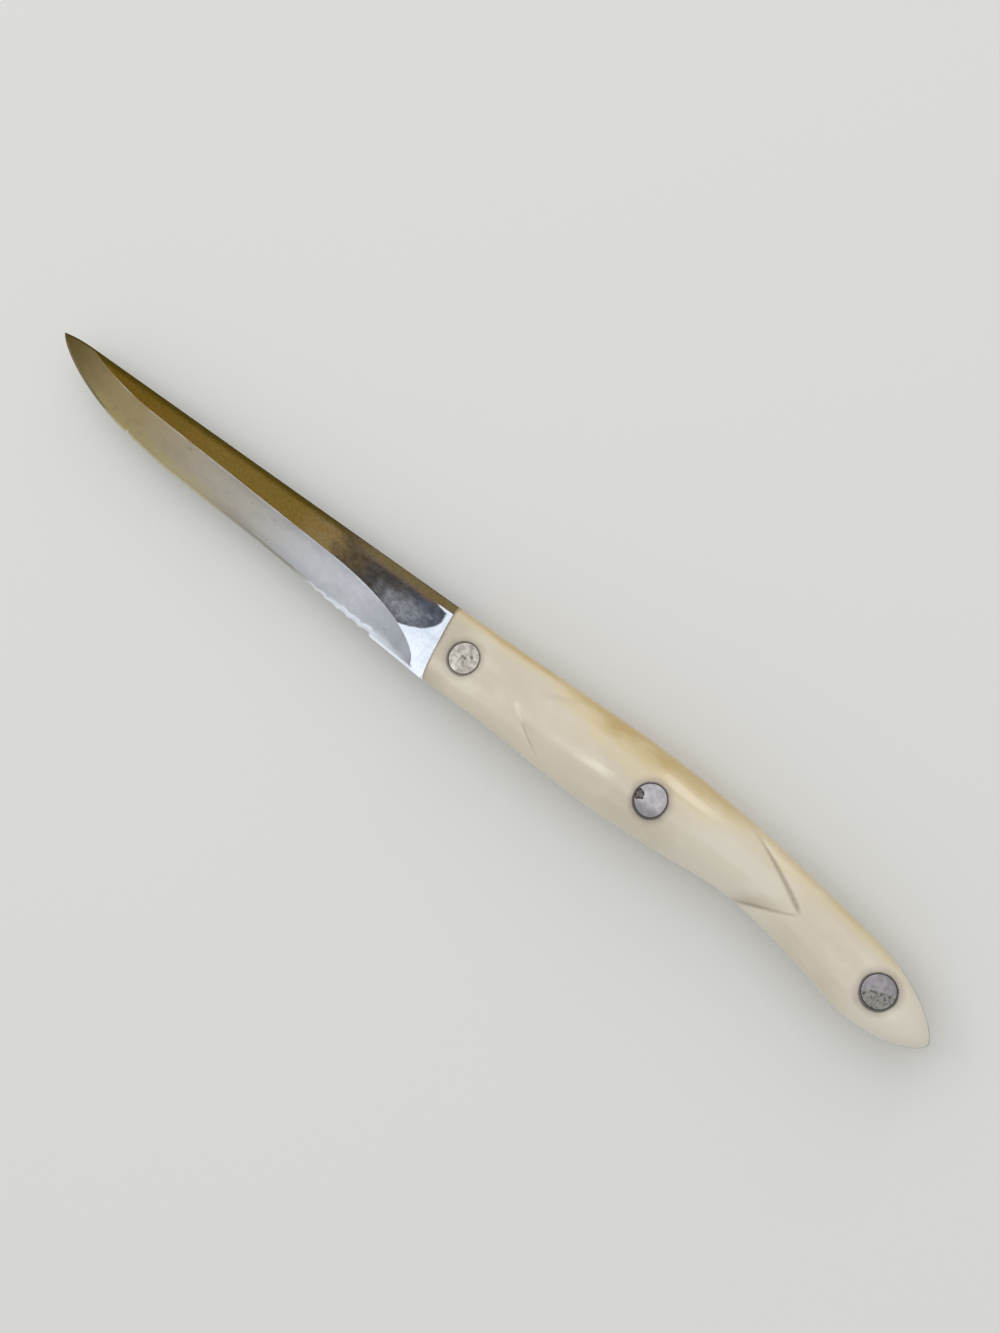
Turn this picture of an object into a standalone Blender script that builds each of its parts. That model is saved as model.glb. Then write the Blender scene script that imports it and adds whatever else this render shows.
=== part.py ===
"""A riveted trimming knife: a steel blade with a full tang, two resin scales and three two-piece rivets.

The knife lies on its right side. X runs from the tip to the butt, Y from the edge to the spine and Z up,
out of the left face. The origin is on the table, under the middle of the knife's box. Each piece is drawn
in the knife's own frame, whose zero is the middle of the handle's front on the steel's middle plane, and an
empty then sets that frame down on the table. Everything is in metres.
"""

import math

import bmesh
import bpy
from mathutils import Vector

# Steel
BLADE_LENGTH = 0.1240
STOCK = 0.0020
SPINE_AT_HANDLE = 0.00835
SPINE_AT_TIP = 0.00040
SPINE_CHAMFER = 0.00020
TIP_DROP = 0.00080
TIP_DROP_LENGTH = 0.0090
EDGE_AT_HANDLE = -0.0086
EDGE_AT_BELLY = -0.0098
BELLY_FROM_HANDLE = 0.0800
BELLY_START_POWER = 2.2
BELLY_END_POWER = 0.68
EDGE_BEVEL = 0.00060
EDGE_BEVEL_THICKNESS = 0.00032
MOST_BEVEL_SHARE = 0.25
MOST_CHAMFER_SHARE = 0.12
LEAST_GRIND = 0.0003

# Ridge between the polished flat and the ground bevel, and its run-out at the heel
RIDGE_AT_HANDLE = 0.0003
RIDGE_FALL_PER_METRE = 0.0200
RIDGE_SWEEP_FROM_HANDLE = 0.0910
RIDGE_SWEEP_PER_METRE = 5.2
PLUNGE_FROM_HANDLE = 0.0030
PLUNGE_LENGTH = 0.0305
PLUNGE_STEP = 0.0004

# Serrated middle of the edge, hollow ground on the right side
SCALLOPS = 24
SCALLOP_PITCH = 0.00330
SCALLOP_DEPTH = 0.00042
SCALLOP_RISE = 0.0026
SCALLOP_HOLLOW = 0.00010
SERRATION_FROM_HANDLE = 0.0152
SERRATION_RELIEF = 0.00022

# Handle outline: heights above the knife's axis at even stations, from the front to the butt
HANDLE_LENGTH = 0.1270
HANDLE_TOP = (SPINE_AT_HANDLE, 0.0095, 0.0108, 0.0120, 0.0124, 0.01195, 0.0107, 0.00925, 0.0080)
HANDLE_BOTTOM = (EDGE_AT_HANDLE, -0.0075, -0.0072, -0.0065, -0.0047, -0.0024, -0.0034, -0.00575, -0.0064)
NOSE_LENGTH = 0.0200
NOSE_HEIGHT = 0.0002
NOSE_POWER = 0.64
FRONT_SLANT = math.radians(12.5)
FRONT_SLANT_LENGTH = 0.0250

# Handle thickness over both scales
FRONT_THICKNESS = 0.0108
BUTT_THICKNESS = 0.0124
SWELL_THICKNESS = 0.0176
BUTT_ROUNDING = 0.0150
FRONT_EDGE_ROUNDING = 0.0007
SIDE_LAND = 0.0003
SIDE_FULLNESS = (3.4, 3.0, 2.5, 2.2, 2.1, 2.2, 2.4, 2.4, 2.2)

# Lens-shaped palm swell: its two points, and how far its border has spread a little way from each
SWELL_FRONT = 0.0205
SWELL_REAR_FROM_BUTT = 0.0330
SWELL_POWER = 1.5
SPREAD_LENGTH = 0.0200
SPREAD_POWER = 0.85
FRONT_SPREAD = 0.0110
REAR_UPPER_SPREAD = 0.0070
REAR_LOWER_SPREAD = 0.0105
SPREAD_BLEND = 6

# Rivets, each a headed sleeve from the left and a headed pin from the right
FRONT_RIVET_FROM_FRONT = 0.0071
FRONT_RIVET_HEIGHT = 0.0006
MIDDLE_RIVET_FROM_FRONT = 0.0577
MIDDLE_RIVET_HEIGHT = 0.0026
REAR_RIVET_FROM_BUTT = 0.0126
REAR_RIVET_HEIGHT = 0.0022
RIVET_HEAD = 0.00675
SLEEVE_DIAMETER = 0.0048
PIN_DIAMETER = 0.0028
SEAT_ABOVE_TANG = 0.0021
RIVET_SIDES = 32

# Clearance between pieces that touch, and the distance that makes two drawn points one
FIT_GAP = 0.0003
MERGE = 1e-7

# How finely the curved surfaces are drawn
BELLY_STEPS = 26
BELLY_STEP_POWER = 1.6
SCALLOP_STEPS = 6
PLUNGE_STEPS = 14
FRONT_STEPS = 3
SCALE_STATIONS = 38
NOSE_STEPS = 8
SCALE_POINTS = 18
SHARP_ANGLE = math.radians(25)

RIVETS = {
    "front": (FRONT_RIVET_FROM_FRONT, FRONT_RIVET_HEIGHT),
    "middle": (MIDDLE_RIVET_FROM_FRONT, MIDDLE_RIVET_HEIGHT),
    "rear": (HANDLE_LENGTH - REAR_RIVET_FROM_BUTT, REAR_RIVET_HEIGHT),
}
SWELL_REAR = HANDLE_LENGTH - SWELL_REAR_FROM_BUTT
TIP_HEIGHT = SPINE_AT_TIP - TIP_DROP
TANG_FACE = STOCK / 2
SCALE_FACE = TANG_FACE + FIT_GAP
RIVET_SEAT = TANG_FACE + FIT_GAP + SEAT_ABOVE_TANG
WELL_CLEAR = SWELL_THICKNESS


def curve_at(values, share):
    """Value at a share of the way along evenly spaced values, on a smooth curve through all of them."""
    last = len(values) - 1
    place = min(max(share, 0.0), 1.0) * last
    start = min(int(place), last - 1)
    part = place - start
    near, far = values[start], values[start + 1]
    before = values[start - 1] if start else 2 * near - far
    after = values[start + 2] if start + 2 <= last else 2 * far - near
    bend = 2 * before - 5 * near + 4 * far - after
    twist = 3 * near - 3 * far + after - before
    return near + 0.5 * part * (far - before + part * (bend + part * twist))


def spine_at(x):
    """Height of the blade's back: straight from the handle, and dropping a little just before the tip."""
    straight = SPINE_AT_HANDLE + (SPINE_AT_TIP - SPINE_AT_HANDLE) * -x / BLADE_LENGTH
    drop = max(0.0, 1 - (BLADE_LENGTH + x) / TIP_DROP_LENGTH)
    return straight - TIP_DROP * drop**2


def plain_edge_at(x):
    """Height of the cutting edge before the scallops are ground: nearly straight, then the belly's sweep."""
    share = min(-x / BELLY_FROM_HANDLE, 1.0)
    straight = EDGE_AT_HANDLE + (EDGE_AT_BELLY - EDGE_AT_HANDLE) * share
    sweep = (-x - BELLY_FROM_HANDLE) / (BLADE_LENGTH - BELLY_FROM_HANDLE)
    if sweep <= 0:
        return straight
    rise = 1 - (1 - min(sweep, 1.0) ** BELLY_START_POWER) ** BELLY_END_POWER
    return straight + (TIP_HEIGHT - EDGE_AT_BELLY) * rise


def scallop_at(x):
    """Height of the teeth's points above the plain edge, and how far into a scallop this is, from 0 to 1."""
    place = (-x - SERRATION_FROM_HANDLE) / SCALLOP_PITCH
    if not -MERGE <= place <= SCALLOPS + MERGE:
        return 0.0, 0.0
    return SERRATION_RELIEF, 1 - (2 * (place % 1.0) - 1) ** 2


def ridge_at(x):
    """Height of the line where the bevel meets the flat: it sweeps up at the tip and plunges at the heel."""
    height = RIDGE_AT_HANDLE + RIDGE_FALL_PER_METRE * x
    sweep = max(0.0, -x - RIDGE_SWEEP_FROM_HANDLE)
    height += RIDGE_SWEEP_PER_METRE * sweep**2
    plunge = min(1.0, max(0.0, 1 + (x + PLUNGE_FROM_HANDLE) / PLUNGE_LENGTH))
    return height - (height - plain_edge_at(x)) * (1 - math.sqrt(1 - plunge**2))


def blade_ring(x):
    """Section of the ground blade, up its left side from the edge to the spine and down its right side."""
    back = spine_at(x)
    plain = plain_edge_at(x)
    relief, arch = scallop_at(x)
    edge = plain + relief + SCALLOP_DEPTH * arch
    height = back - edge
    bevel = min(EDGE_BEVEL, height * MOST_BEVEL_SHARE)
    chamfer = min(SPINE_CHAMFER, height * MOST_CHAMFER_SHARE)
    ridge = max(ridge_at(x), edge + bevel + LEAST_GRIND)
    thin = EDGE_BEVEL_THICKNESS / 2
    slope = (TANG_FACE - thin) / (ridge - plain - bevel)

    def half(y):
        return min(TANG_FACE, thin * bevel / EDGE_BEVEL + slope * (y - plain - bevel))

    shoulder = min(ridge, back - 2 * chamfer)
    bevel_top = edge + bevel
    scallop_top = bevel_top + min(SCALLOP_RISE, (shoulder - bevel_top) / 2) * arch
    hollow = half(scallop_top) / 2 - SCALLOP_HOLLOW * arch
    top = half(back) - chamfer / 2
    section = (
        (edge, 0.0),
        (bevel_top, half(bevel_top)),
        (shoulder, half(shoulder)),
        (back - chamfer, half(back - chamfer)),
        (back, top),
        (back, -top),
        (back - chamfer, -half(back - chamfer)),
        (shoulder, -half(shoulder)),
        (scallop_top, -half(scallop_top)),
        ((edge + scallop_top) / 2, -hollow),
        (edge, 0.0),
    )
    return [Vector((x, y, z)) for y, z in section]


def tang_ring(x, top, bottom):
    """Section of the unground steel, with as many corners as the ground blade's."""
    up = [i / 4 for i in range(5)]
    down = [1 - i / 5 for i in range(6)]
    left = [Vector((x, bottom + (top - bottom) * share, TANG_FACE)) for share in up]
    right = [Vector((x, bottom + (top - bottom) * share, -TANG_FACE)) for share in down]
    return left + right


def handle_edges(x):
    """Top and bottom heights of the handle's outline, drawn in to a rounded nose at the butt."""
    share = x / HANDLE_LENGTH
    reach = min(1.0, max(0.0, 1 - (HANDLE_LENGTH - x) / NOSE_LENGTH))
    nose = (1 - reach**2) ** NOSE_POWER
    top = NOSE_HEIGHT + (curve_at(HANDLE_TOP, share) - NOSE_HEIGHT) * nose
    bottom = NOSE_HEIGHT + (curve_at(HANDLE_BOTTOM, share) - NOSE_HEIGHT) * nose
    return top, bottom


def swell_reach(x, rear_spread):
    """How far above or below the handle's middle line the palm swell reaches."""
    front = FRONT_SPREAD * ((x - SWELL_FRONT) / SPREAD_LENGTH) ** SPREAD_POWER
    rear = rear_spread * ((SWELL_REAR - x) / SPREAD_LENGTH) ** SPREAD_POWER
    return (front**-SPREAD_BLEND + rear**-SPREAD_BLEND) ** (-1 / SPREAD_BLEND)


def side_height(x, y):
    """Height of the handle's side over the steel's middle plane, before its edges are rounded off."""
    plain = (FRONT_THICKNESS + (BUTT_THICKNESS - FRONT_THICKNESS) * x / HANDLE_LENGTH) / 2
    middle = (SWELL_FRONT + SWELL_REAR) / 2
    half_length = (SWELL_REAR - SWELL_FRONT) / 2
    place = abs(x - middle) / half_length
    if place >= 1 - MERGE:
        return plain
    top, bottom = handle_edges(x)
    off = y - (top + bottom) / 2
    reach = swell_reach(x, REAR_UPPER_SPREAD if off > 0 else REAR_LOWER_SPREAD)
    crown = max(0.0, 1 - (off / reach) ** 2)
    most = (SWELL_THICKNESS - (FRONT_THICKNESS + BUTT_THICKNESS) / 2) / 2
    return plain + most * math.cos(math.pi / 2 * place) ** SWELL_POWER * crown


def scale_point(station, across):
    """Point on the left scale's outside, at a place along the handle and a place across it from -1 to 1."""
    top, bottom = handle_edges(station)
    y = (top + bottom) / 2 + across * (top - bottom) / 2
    fade = max(0.0, 1 - station / FRONT_SLANT_LENGTH) ** 2
    x = station - math.tan(FRONT_SLANT) * y * fade
    if station < FRONT_SLANT_LENGTH:
        top, bottom = handle_edges(x)
        y = (top + bottom) / 2 + across * (top - bottom) / 2
    fullness = curve_at(SIDE_FULLNESS, station / HANDLE_LENGTH)
    rounding = (1 - abs(across) ** fullness) ** (1 / fullness)
    reach = min(1.0, max(0.0, 1 - (HANDLE_LENGTH - station) / BUTT_ROUNDING))
    lowest = SCALE_FACE + SIDE_LAND
    height = (side_height(station, y) - lowest) * math.sqrt(1 - reach**2)
    near = max(0.0, 1 - station / FRONT_EDGE_ROUNDING)
    height -= FRONT_EDGE_ROUNDING * (1 - math.sqrt(1 - near**2))
    return Vector((x, y, lowest + height * rounding))


def handle_stations():
    """Places along the handle, closer together at its rounded front edge and its nose."""
    turn = [math.pi / 2 * i / FRONT_STEPS for i in range(FRONT_STEPS)]
    front = [FRONT_EDGE_ROUNDING * (1 - math.cos(angle)) for angle in turn]
    body = HANDLE_LENGTH - NOSE_LENGTH / 2
    step = (body - FRONT_EDGE_ROUNDING) / SCALE_STATIONS
    even = [FRONT_EDGE_ROUNDING + step * i for i in range(SCALE_STATIONS)]
    turn = [math.pi / 2 * i / NOSE_STEPS for i in range(NOSE_STEPS + 1)]
    nose = [body + (HANDLE_LENGTH - body) * math.sin(angle) for angle in turn]
    return front + even + nose


def blade_stations():
    """Places along the ground blade, from just behind the tip to the end of the plunge at the heel."""
    belly_length = BLADE_LENGTH - BELLY_FROM_HANDLE
    shares = [(i / BELLY_STEPS) ** BELLY_STEP_POWER for i in range(1, BELLY_STEPS)]
    belly = [-BLADE_LENGTH + belly_length * share for share in shares]
    step = SCALLOP_PITCH / SCALLOP_STEPS
    teeth = [-SERRATION_FROM_HANDLE - step * i for i in range(SCALLOPS * SCALLOP_STEPS + 1)]
    turn = [math.pi / 2 * i / PLUNGE_STEPS for i in range(PLUNGE_STEPS)]
    plunge = [-PLUNGE_FROM_HANDLE - PLUNGE_LENGTH * (1 - math.sin(angle)) for angle in turn]
    ends = [teeth[0] + PLUNGE_STEP, teeth[-1] - PLUNGE_STEP, -PLUNGE_FROM_HANDLE]
    free = [x for x in belly + plunge if x > ends[0] + step / 2 or x < ends[1] - step / 2]
    return sorted(free + teeth + ends)


def loft(name, rings, cap_first=False):
    """Closed mesh through a row of rings with the same number of corners."""
    mesh = bpy.data.meshes.new(name)
    body = bmesh.new()
    rows = [[body.verts.new(point) for point in ring] for ring in rings]
    for row, following in zip(rows, rows[1:]):
        for i, corner in enumerate(row):
            body.faces.new((row[i - 1], corner, following[i], following[i - 1]))
    if cap_first:
        body.faces.new(rows[0])
    bmesh.ops.remove_doubles(body, verts=body.verts, dist=MERGE)
    bmesh.ops.dissolve_degenerate(body, edges=body.edges, dist=MERGE)
    bmesh.ops.recalc_face_normals(body, faces=body.faces)
    body.to_mesh(mesh)
    body.free()
    return place_object(name, mesh)


def turned(name, profile):
    """Solid turned about Z from a profile of (radius, height) corners that starts and ends on the axis."""
    mesh = bpy.data.meshes.new(name)
    body = bmesh.new()
    corners = [body.verts.new((radius, 0.0, height)) for radius, height in profile]
    edges = [body.edges.new(pair) for pair in zip(corners, corners[1:])]
    bmesh.ops.spin(
        body, geom=corners + edges, axis=(0, 0, 1), cent=(0, 0, 0), angle=math.tau, steps=RIVET_SIDES
    )
    bmesh.ops.remove_doubles(body, verts=body.verts, dist=MERGE)
    bmesh.ops.recalc_face_normals(body, faces=body.faces)
    body.to_mesh(mesh)
    body.free()
    return place_object(name, mesh)


def place_object(name, mesh):
    """New object in the knife's frame."""
    piece = bpy.data.objects.new(name, mesh)
    piece.parent = knife
    bpy.context.scene.collection.objects.link(piece)
    return piece


def helper(piece):
    """Marks an object as one that only shapes others."""
    piece.hide_render = True
    piece.display_type = "WIRE"
    return piece


def shape_with(piece, tool, operation):
    """Boolean of a piece with a helper object."""
    modifier = piece.modifiers.new(tool.name, "BOOLEAN")
    modifier.object = tool
    modifier.operation = operation
    modifier.solver = "EXACT"


def material(name, colour, roughness, metallic):
    """Plain surface of one colour."""
    made = bpy.data.materials.new(name)
    made.use_nodes = True
    surface = made.node_tree.nodes["Principled BSDF"]
    surface.inputs["Base Color"].default_value = (*colour, 1.0)
    surface.inputs["Roughness"].default_value = roughness
    surface.inputs["Metallic"].default_value = metallic
    return made


def dress(piece, finish):
    """Gives a piece its finish, with its curves shaded smooth and its corners sharp."""
    piece.data.materials.append(finish)
    piece.data.shade_smooth()
    piece.data.set_sharp_from_angle(angle=SHARP_ANGLE)
    return piece


def build_steel():
    """Blade and tang in one piece of stock, drilled for the rivets."""
    tip = [Vector((-BLADE_LENGTH, TIP_HEIGHT, 0.0))] * len(blade_ring(-BELLY_FROM_HANDLE))
    rings = [tip] + [blade_ring(x) for x in blade_stations()]
    heel = -PLUNGE_FROM_HANDLE + PLUNGE_STEP
    rings.append(tang_ring(heel, spine_at(heel), plain_edge_at(heel)))
    rings += [tang_ring(x, *handle_edges(x)) for x in handle_stations()]
    steel = loft("blade", rings)
    hole = SLEEVE_DIAMETER / 2 + FIT_GAP
    for name, (x, y) in RIVETS.items():
        profile = ((0.0, WELL_CLEAR), (hole, WELL_CLEAR), (hole, -WELL_CLEAR), (0.0, -WELL_CLEAR))
        cutter = helper(turned(f"{name}_tang_hole", profile))
        cutter.location = (x, y, 0.0)
        shape_with(steel, cutter, "DIFFERENCE")
    return dress(steel, material("blade_steel", (0.52, 0.49, 0.43), 0.28, 1.0))


def handle_half(name, side, inner):
    """Half of the handle's outer shape, from a flat inner face at this height out to its side."""
    rings = []
    for station in handle_stations():
        across = [math.sin(math.pi / 2 * (2 * i / SCALE_POINTS - 1)) for i in range(SCALE_POINTS + 1)]
        outside = [scale_point(station, place) for place in across]
        ring = [Vector((outside[0].x, outside[0].y, inner))] + outside
        ring.append(Vector((outside[-1].x, outside[-1].y, inner)))
        rings.append([Vector((p.x, p.y, side * p.z)) for p in ring])
    return loft(name, rings, cap_first=True)


def build_scale(name, side, finish):
    """One handle scale, with a stepped hole for each rivet."""
    scale = handle_half(name, side, SCALE_FACE)
    hole = SLEEVE_DIAMETER / 2 + FIT_GAP
    head = RIVET_HEAD / 2 + FIT_GAP
    floor = side * (RIVET_SEAT - FIT_GAP)
    for rivet, (x, y) in RIVETS.items():
        profile = (
            (0.0, side * WELL_CLEAR),
            (head, side * WELL_CLEAR),
            (head, floor),
            (hole, floor),
            (hole, -side * WELL_CLEAR),
            (0.0, -side * WELL_CLEAR),
        )
        cutter = helper(turned(f"{rivet}_{name}_hole", profile))
        cutter.location = (x, y, 0.0)
        shape_with(scale, cutter, "DIFFERENCE")
    return dress(scale, finish)


def build_rivets(finish):
    """The three rivets, their heads ground flush with the handle's sides."""
    left = helper(handle_half("left_grinding_envelope", 1, -WELL_CLEAR))
    right = helper(handle_half("right_grinding_envelope", -1, -WELL_CLEAR))
    head = RIVET_HEAD / 2
    sleeve = SLEEVE_DIAMETER / 2
    pin = PIN_DIAMETER / 2
    bore = pin + FIT_GAP
    sleeve_end = -RIVET_SEAT + FIT_GAP
    bore_end = RIVET_SEAT
    sleeve_profile = (
        (0.0, WELL_CLEAR),
        (head, WELL_CLEAR),
        (head, RIVET_SEAT),
        (sleeve, RIVET_SEAT),
        (sleeve, sleeve_end),
        (bore, sleeve_end),
        (bore, bore_end),
        (0.0, bore_end),
    )
    pin_profile = (
        (0.0, bore_end - FIT_GAP),
        (pin, bore_end - FIT_GAP),
        (pin, -RIVET_SEAT),
        (head, -RIVET_SEAT),
        (head, -WELL_CLEAR),
        (0.0, -WELL_CLEAR),
    )
    for name, (x, y) in RIVETS.items():
        for half, profile, envelope in (("sleeve", sleeve_profile, left), ("pin", pin_profile, right)):
            rivet = turned(f"{name}_rivet_{half}", profile)
            rivet.location = (x, y, 0.0)
            shape_with(rivet, envelope, "INTERSECT")
            dress(rivet, finish)


def set_down():
    """Moves the knife's frame so that the knife's box stands on the table, centred on the origin."""
    bpy.context.view_layer.update()
    graph = bpy.context.evaluated_depsgraph_get()
    pieces = [piece for piece in knife.children if not piece.hide_render]
    corners = []
    for piece in pieces:
        box = piece.evaluated_get(graph).bound_box
        corners += [piece.matrix_world @ Vector(corner) for corner in box]
    low = [min(corner[axis] for corner in corners) for axis in range(3)]
    high = [max(corner[axis] for corner in corners) for axis in range(3)]
    knife.location = (-(low[0] + high[0]) / 2, -(low[1] + high[1]) / 2, -low[2])


for existing in list(bpy.data.objects):
    bpy.data.objects.remove(existing)
knife = bpy.data.objects.new("knife_frame", None)
bpy.context.scene.collection.objects.link(knife)
resin = material("handle_resin", (0.62, 0.56, 0.45), 0.35, 0.0)
build_steel()
build_scale("left_scale", 1, resin)
build_scale("right_scale", -1, resin)
build_rivets(material("rivet_metal", (0.58, 0.56, 0.53), 0.3, 1.0))
set_down()
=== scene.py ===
"""Looks of a riveted trimming knife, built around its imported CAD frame.

The knife lies on its right side: X runs from the tip to the butt, Y from the cutting edge to the spine and Z
up, out of the left face. Shapes are drawn in the knife's own frame, whose zero is the middle of the handle's
front on the steel's middle plane, and finishes read the same frame in millimetres. Sizes are in metres.
"""

import logging
import math
from dataclasses import dataclass, field, fields
from enum import Enum
from types import SimpleNamespace
from typing import Any, Callable, ClassVar, Iterable, Mapping, Optional, Sequence, Union

import bmesh
import bpy
from mathutils import Matrix, Vector

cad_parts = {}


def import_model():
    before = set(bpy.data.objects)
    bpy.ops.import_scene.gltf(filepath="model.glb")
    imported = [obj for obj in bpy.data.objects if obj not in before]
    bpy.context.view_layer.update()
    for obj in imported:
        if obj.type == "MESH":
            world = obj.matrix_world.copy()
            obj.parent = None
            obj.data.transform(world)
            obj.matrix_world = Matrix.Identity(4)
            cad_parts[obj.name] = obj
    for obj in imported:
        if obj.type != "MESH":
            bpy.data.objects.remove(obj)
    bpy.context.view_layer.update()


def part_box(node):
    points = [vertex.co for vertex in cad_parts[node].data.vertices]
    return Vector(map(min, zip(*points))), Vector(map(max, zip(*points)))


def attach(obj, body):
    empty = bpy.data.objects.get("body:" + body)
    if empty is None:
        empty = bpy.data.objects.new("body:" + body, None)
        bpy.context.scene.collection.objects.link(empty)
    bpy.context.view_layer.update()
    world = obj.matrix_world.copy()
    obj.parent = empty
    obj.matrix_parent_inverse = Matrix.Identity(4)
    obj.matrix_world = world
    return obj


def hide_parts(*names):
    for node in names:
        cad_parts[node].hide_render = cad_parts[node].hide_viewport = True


LOG = logging.getLogger("trimming_knife")

BODY = "root"
MERGE = 1e-6
CLEAR = 0.0200
PER_METRE = 1000.0
DARKEN = "MULTIPLY"

Piece = bpy.types.Object
Material = bpy.types.Material
Key = Union[str, int]
Settings = Optional[Mapping[str, Any]]
Sockets = Optional[Mapping[Key, Any]]
Colour = tuple[float, float, float]
Dent = tuple[float, float, float]
Layer = tuple[Any, ...]
Operand = Union["Term", float]


def paint(red: int, green: int, blue: int) -> Colour:
    """Linear colour of a display colour.

    Args:
        red: Red as a screen shows it, from 0 to 255.
        green: Green in the same way.
        blue: Blue in the same way.

    Returns:
        The colour as a shader's socket takes it.
    """
    knee, power = 0.04045, 2.4
    shares = [level / 255 for level in (red, green, blue)]
    linear = [s / 12.92 if s <= knee else ((s + 0.055) / 1.055) ** power for s in shares]
    return linear[0], linear[1], linear[2]


def grey(level: float) -> Colour:
    """Neutral colour of a linear level."""
    return level, level, level


class Side(Enum):
    """The knife's two sides, by the way they face along Z."""

    LEFT = 1
    RIGHT = -1


def math_method(operation: str, reflected: bool = False) -> Callable[..., "Term"]:
    """Method of a term that adds a Math node.

    Args:
        operation: The node's operation.
        reflected: Whether the term comes second, as in 1 - term.

    Returns:
        The method, which takes the other operand where there is one.
    """

    def method(term: "Term", *others: Operand) -> "Term":
        """Adds the node and gives its result."""
        operands = (*others, term) if reflected else (term, *others)
        return term.graph.math(operation, *operands)

    return method


class Term:
    """A number on a node's socket, on which Python's operators add Math nodes.

    Of two numbers, least gives the lower and most the higher, and above is one where this is above the other.
    """

    __add__ = math_method("ADD")
    __radd__ = math_method("ADD", reflected=True)
    __sub__ = math_method("SUBTRACT")
    __rsub__ = math_method("SUBTRACT", reflected=True)
    __mul__ = math_method("MULTIPLY")
    __rmul__ = math_method("MULTIPLY", reflected=True)
    __truediv__ = math_method("DIVIDE")
    __rtruediv__ = math_method("DIVIDE", reflected=True)
    __pow__ = math_method("POWER")
    __abs__ = math_method("ABSOLUTE")
    root = math_method("SQRT")
    fraction = math_method("FRACT")
    least = math_method("MINIMUM")
    most = math_method("MAXIMUM")
    above = math_method("GREATER_THAN")

    def __init__(self, graph: "Graph", socket: bpy.types.NodeSocket) -> None:
        """Wraps a socket of a graph."""
        self.graph = graph
        self.socket = socket

    def __neg__(self) -> "Term":
        """The same number with the other sign."""
        return self * -1.0

    def clamped(self) -> "Term":
        """The number held between zero and one."""
        return self.graph.term("ShaderNodeClamp", {"Value": self})

    def sway(self, reach: float) -> "Term":
        """Noise around a half, turned into a shift around zero."""
        return (self - 0.5) * reach

    def band(self, low: float, high: float) -> "Term":
        """Smooth step.

        Args:
            low: Where the step is zero.
            high: Where the step is one, which may be below low.

        Returns:
            A mask from zero to one.
        """
        sockets = {"Value": self, "From Min": low, "From Max": high}
        return self.graph.term("ShaderNodeMapRange", sockets, {"interpolation_type": "SMOOTHSTEP"})

    def within(self, start: float, full: float, fading: float, end: float) -> "Term":
        """Smooth step up, and down again further on.

        Args:
            start: Where the step up begins.
            full: Where it reaches one.
            fading: Where the step down begins.
            end: Where it is zero again.

        Returns:
            A mask from zero to one.
        """
        return self.band(start, full) * self.band(end, fading)


def span(x: Term, y: Term) -> Term:
    """Length of a flat vector."""
    return (x * x + y * y).root()


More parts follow.
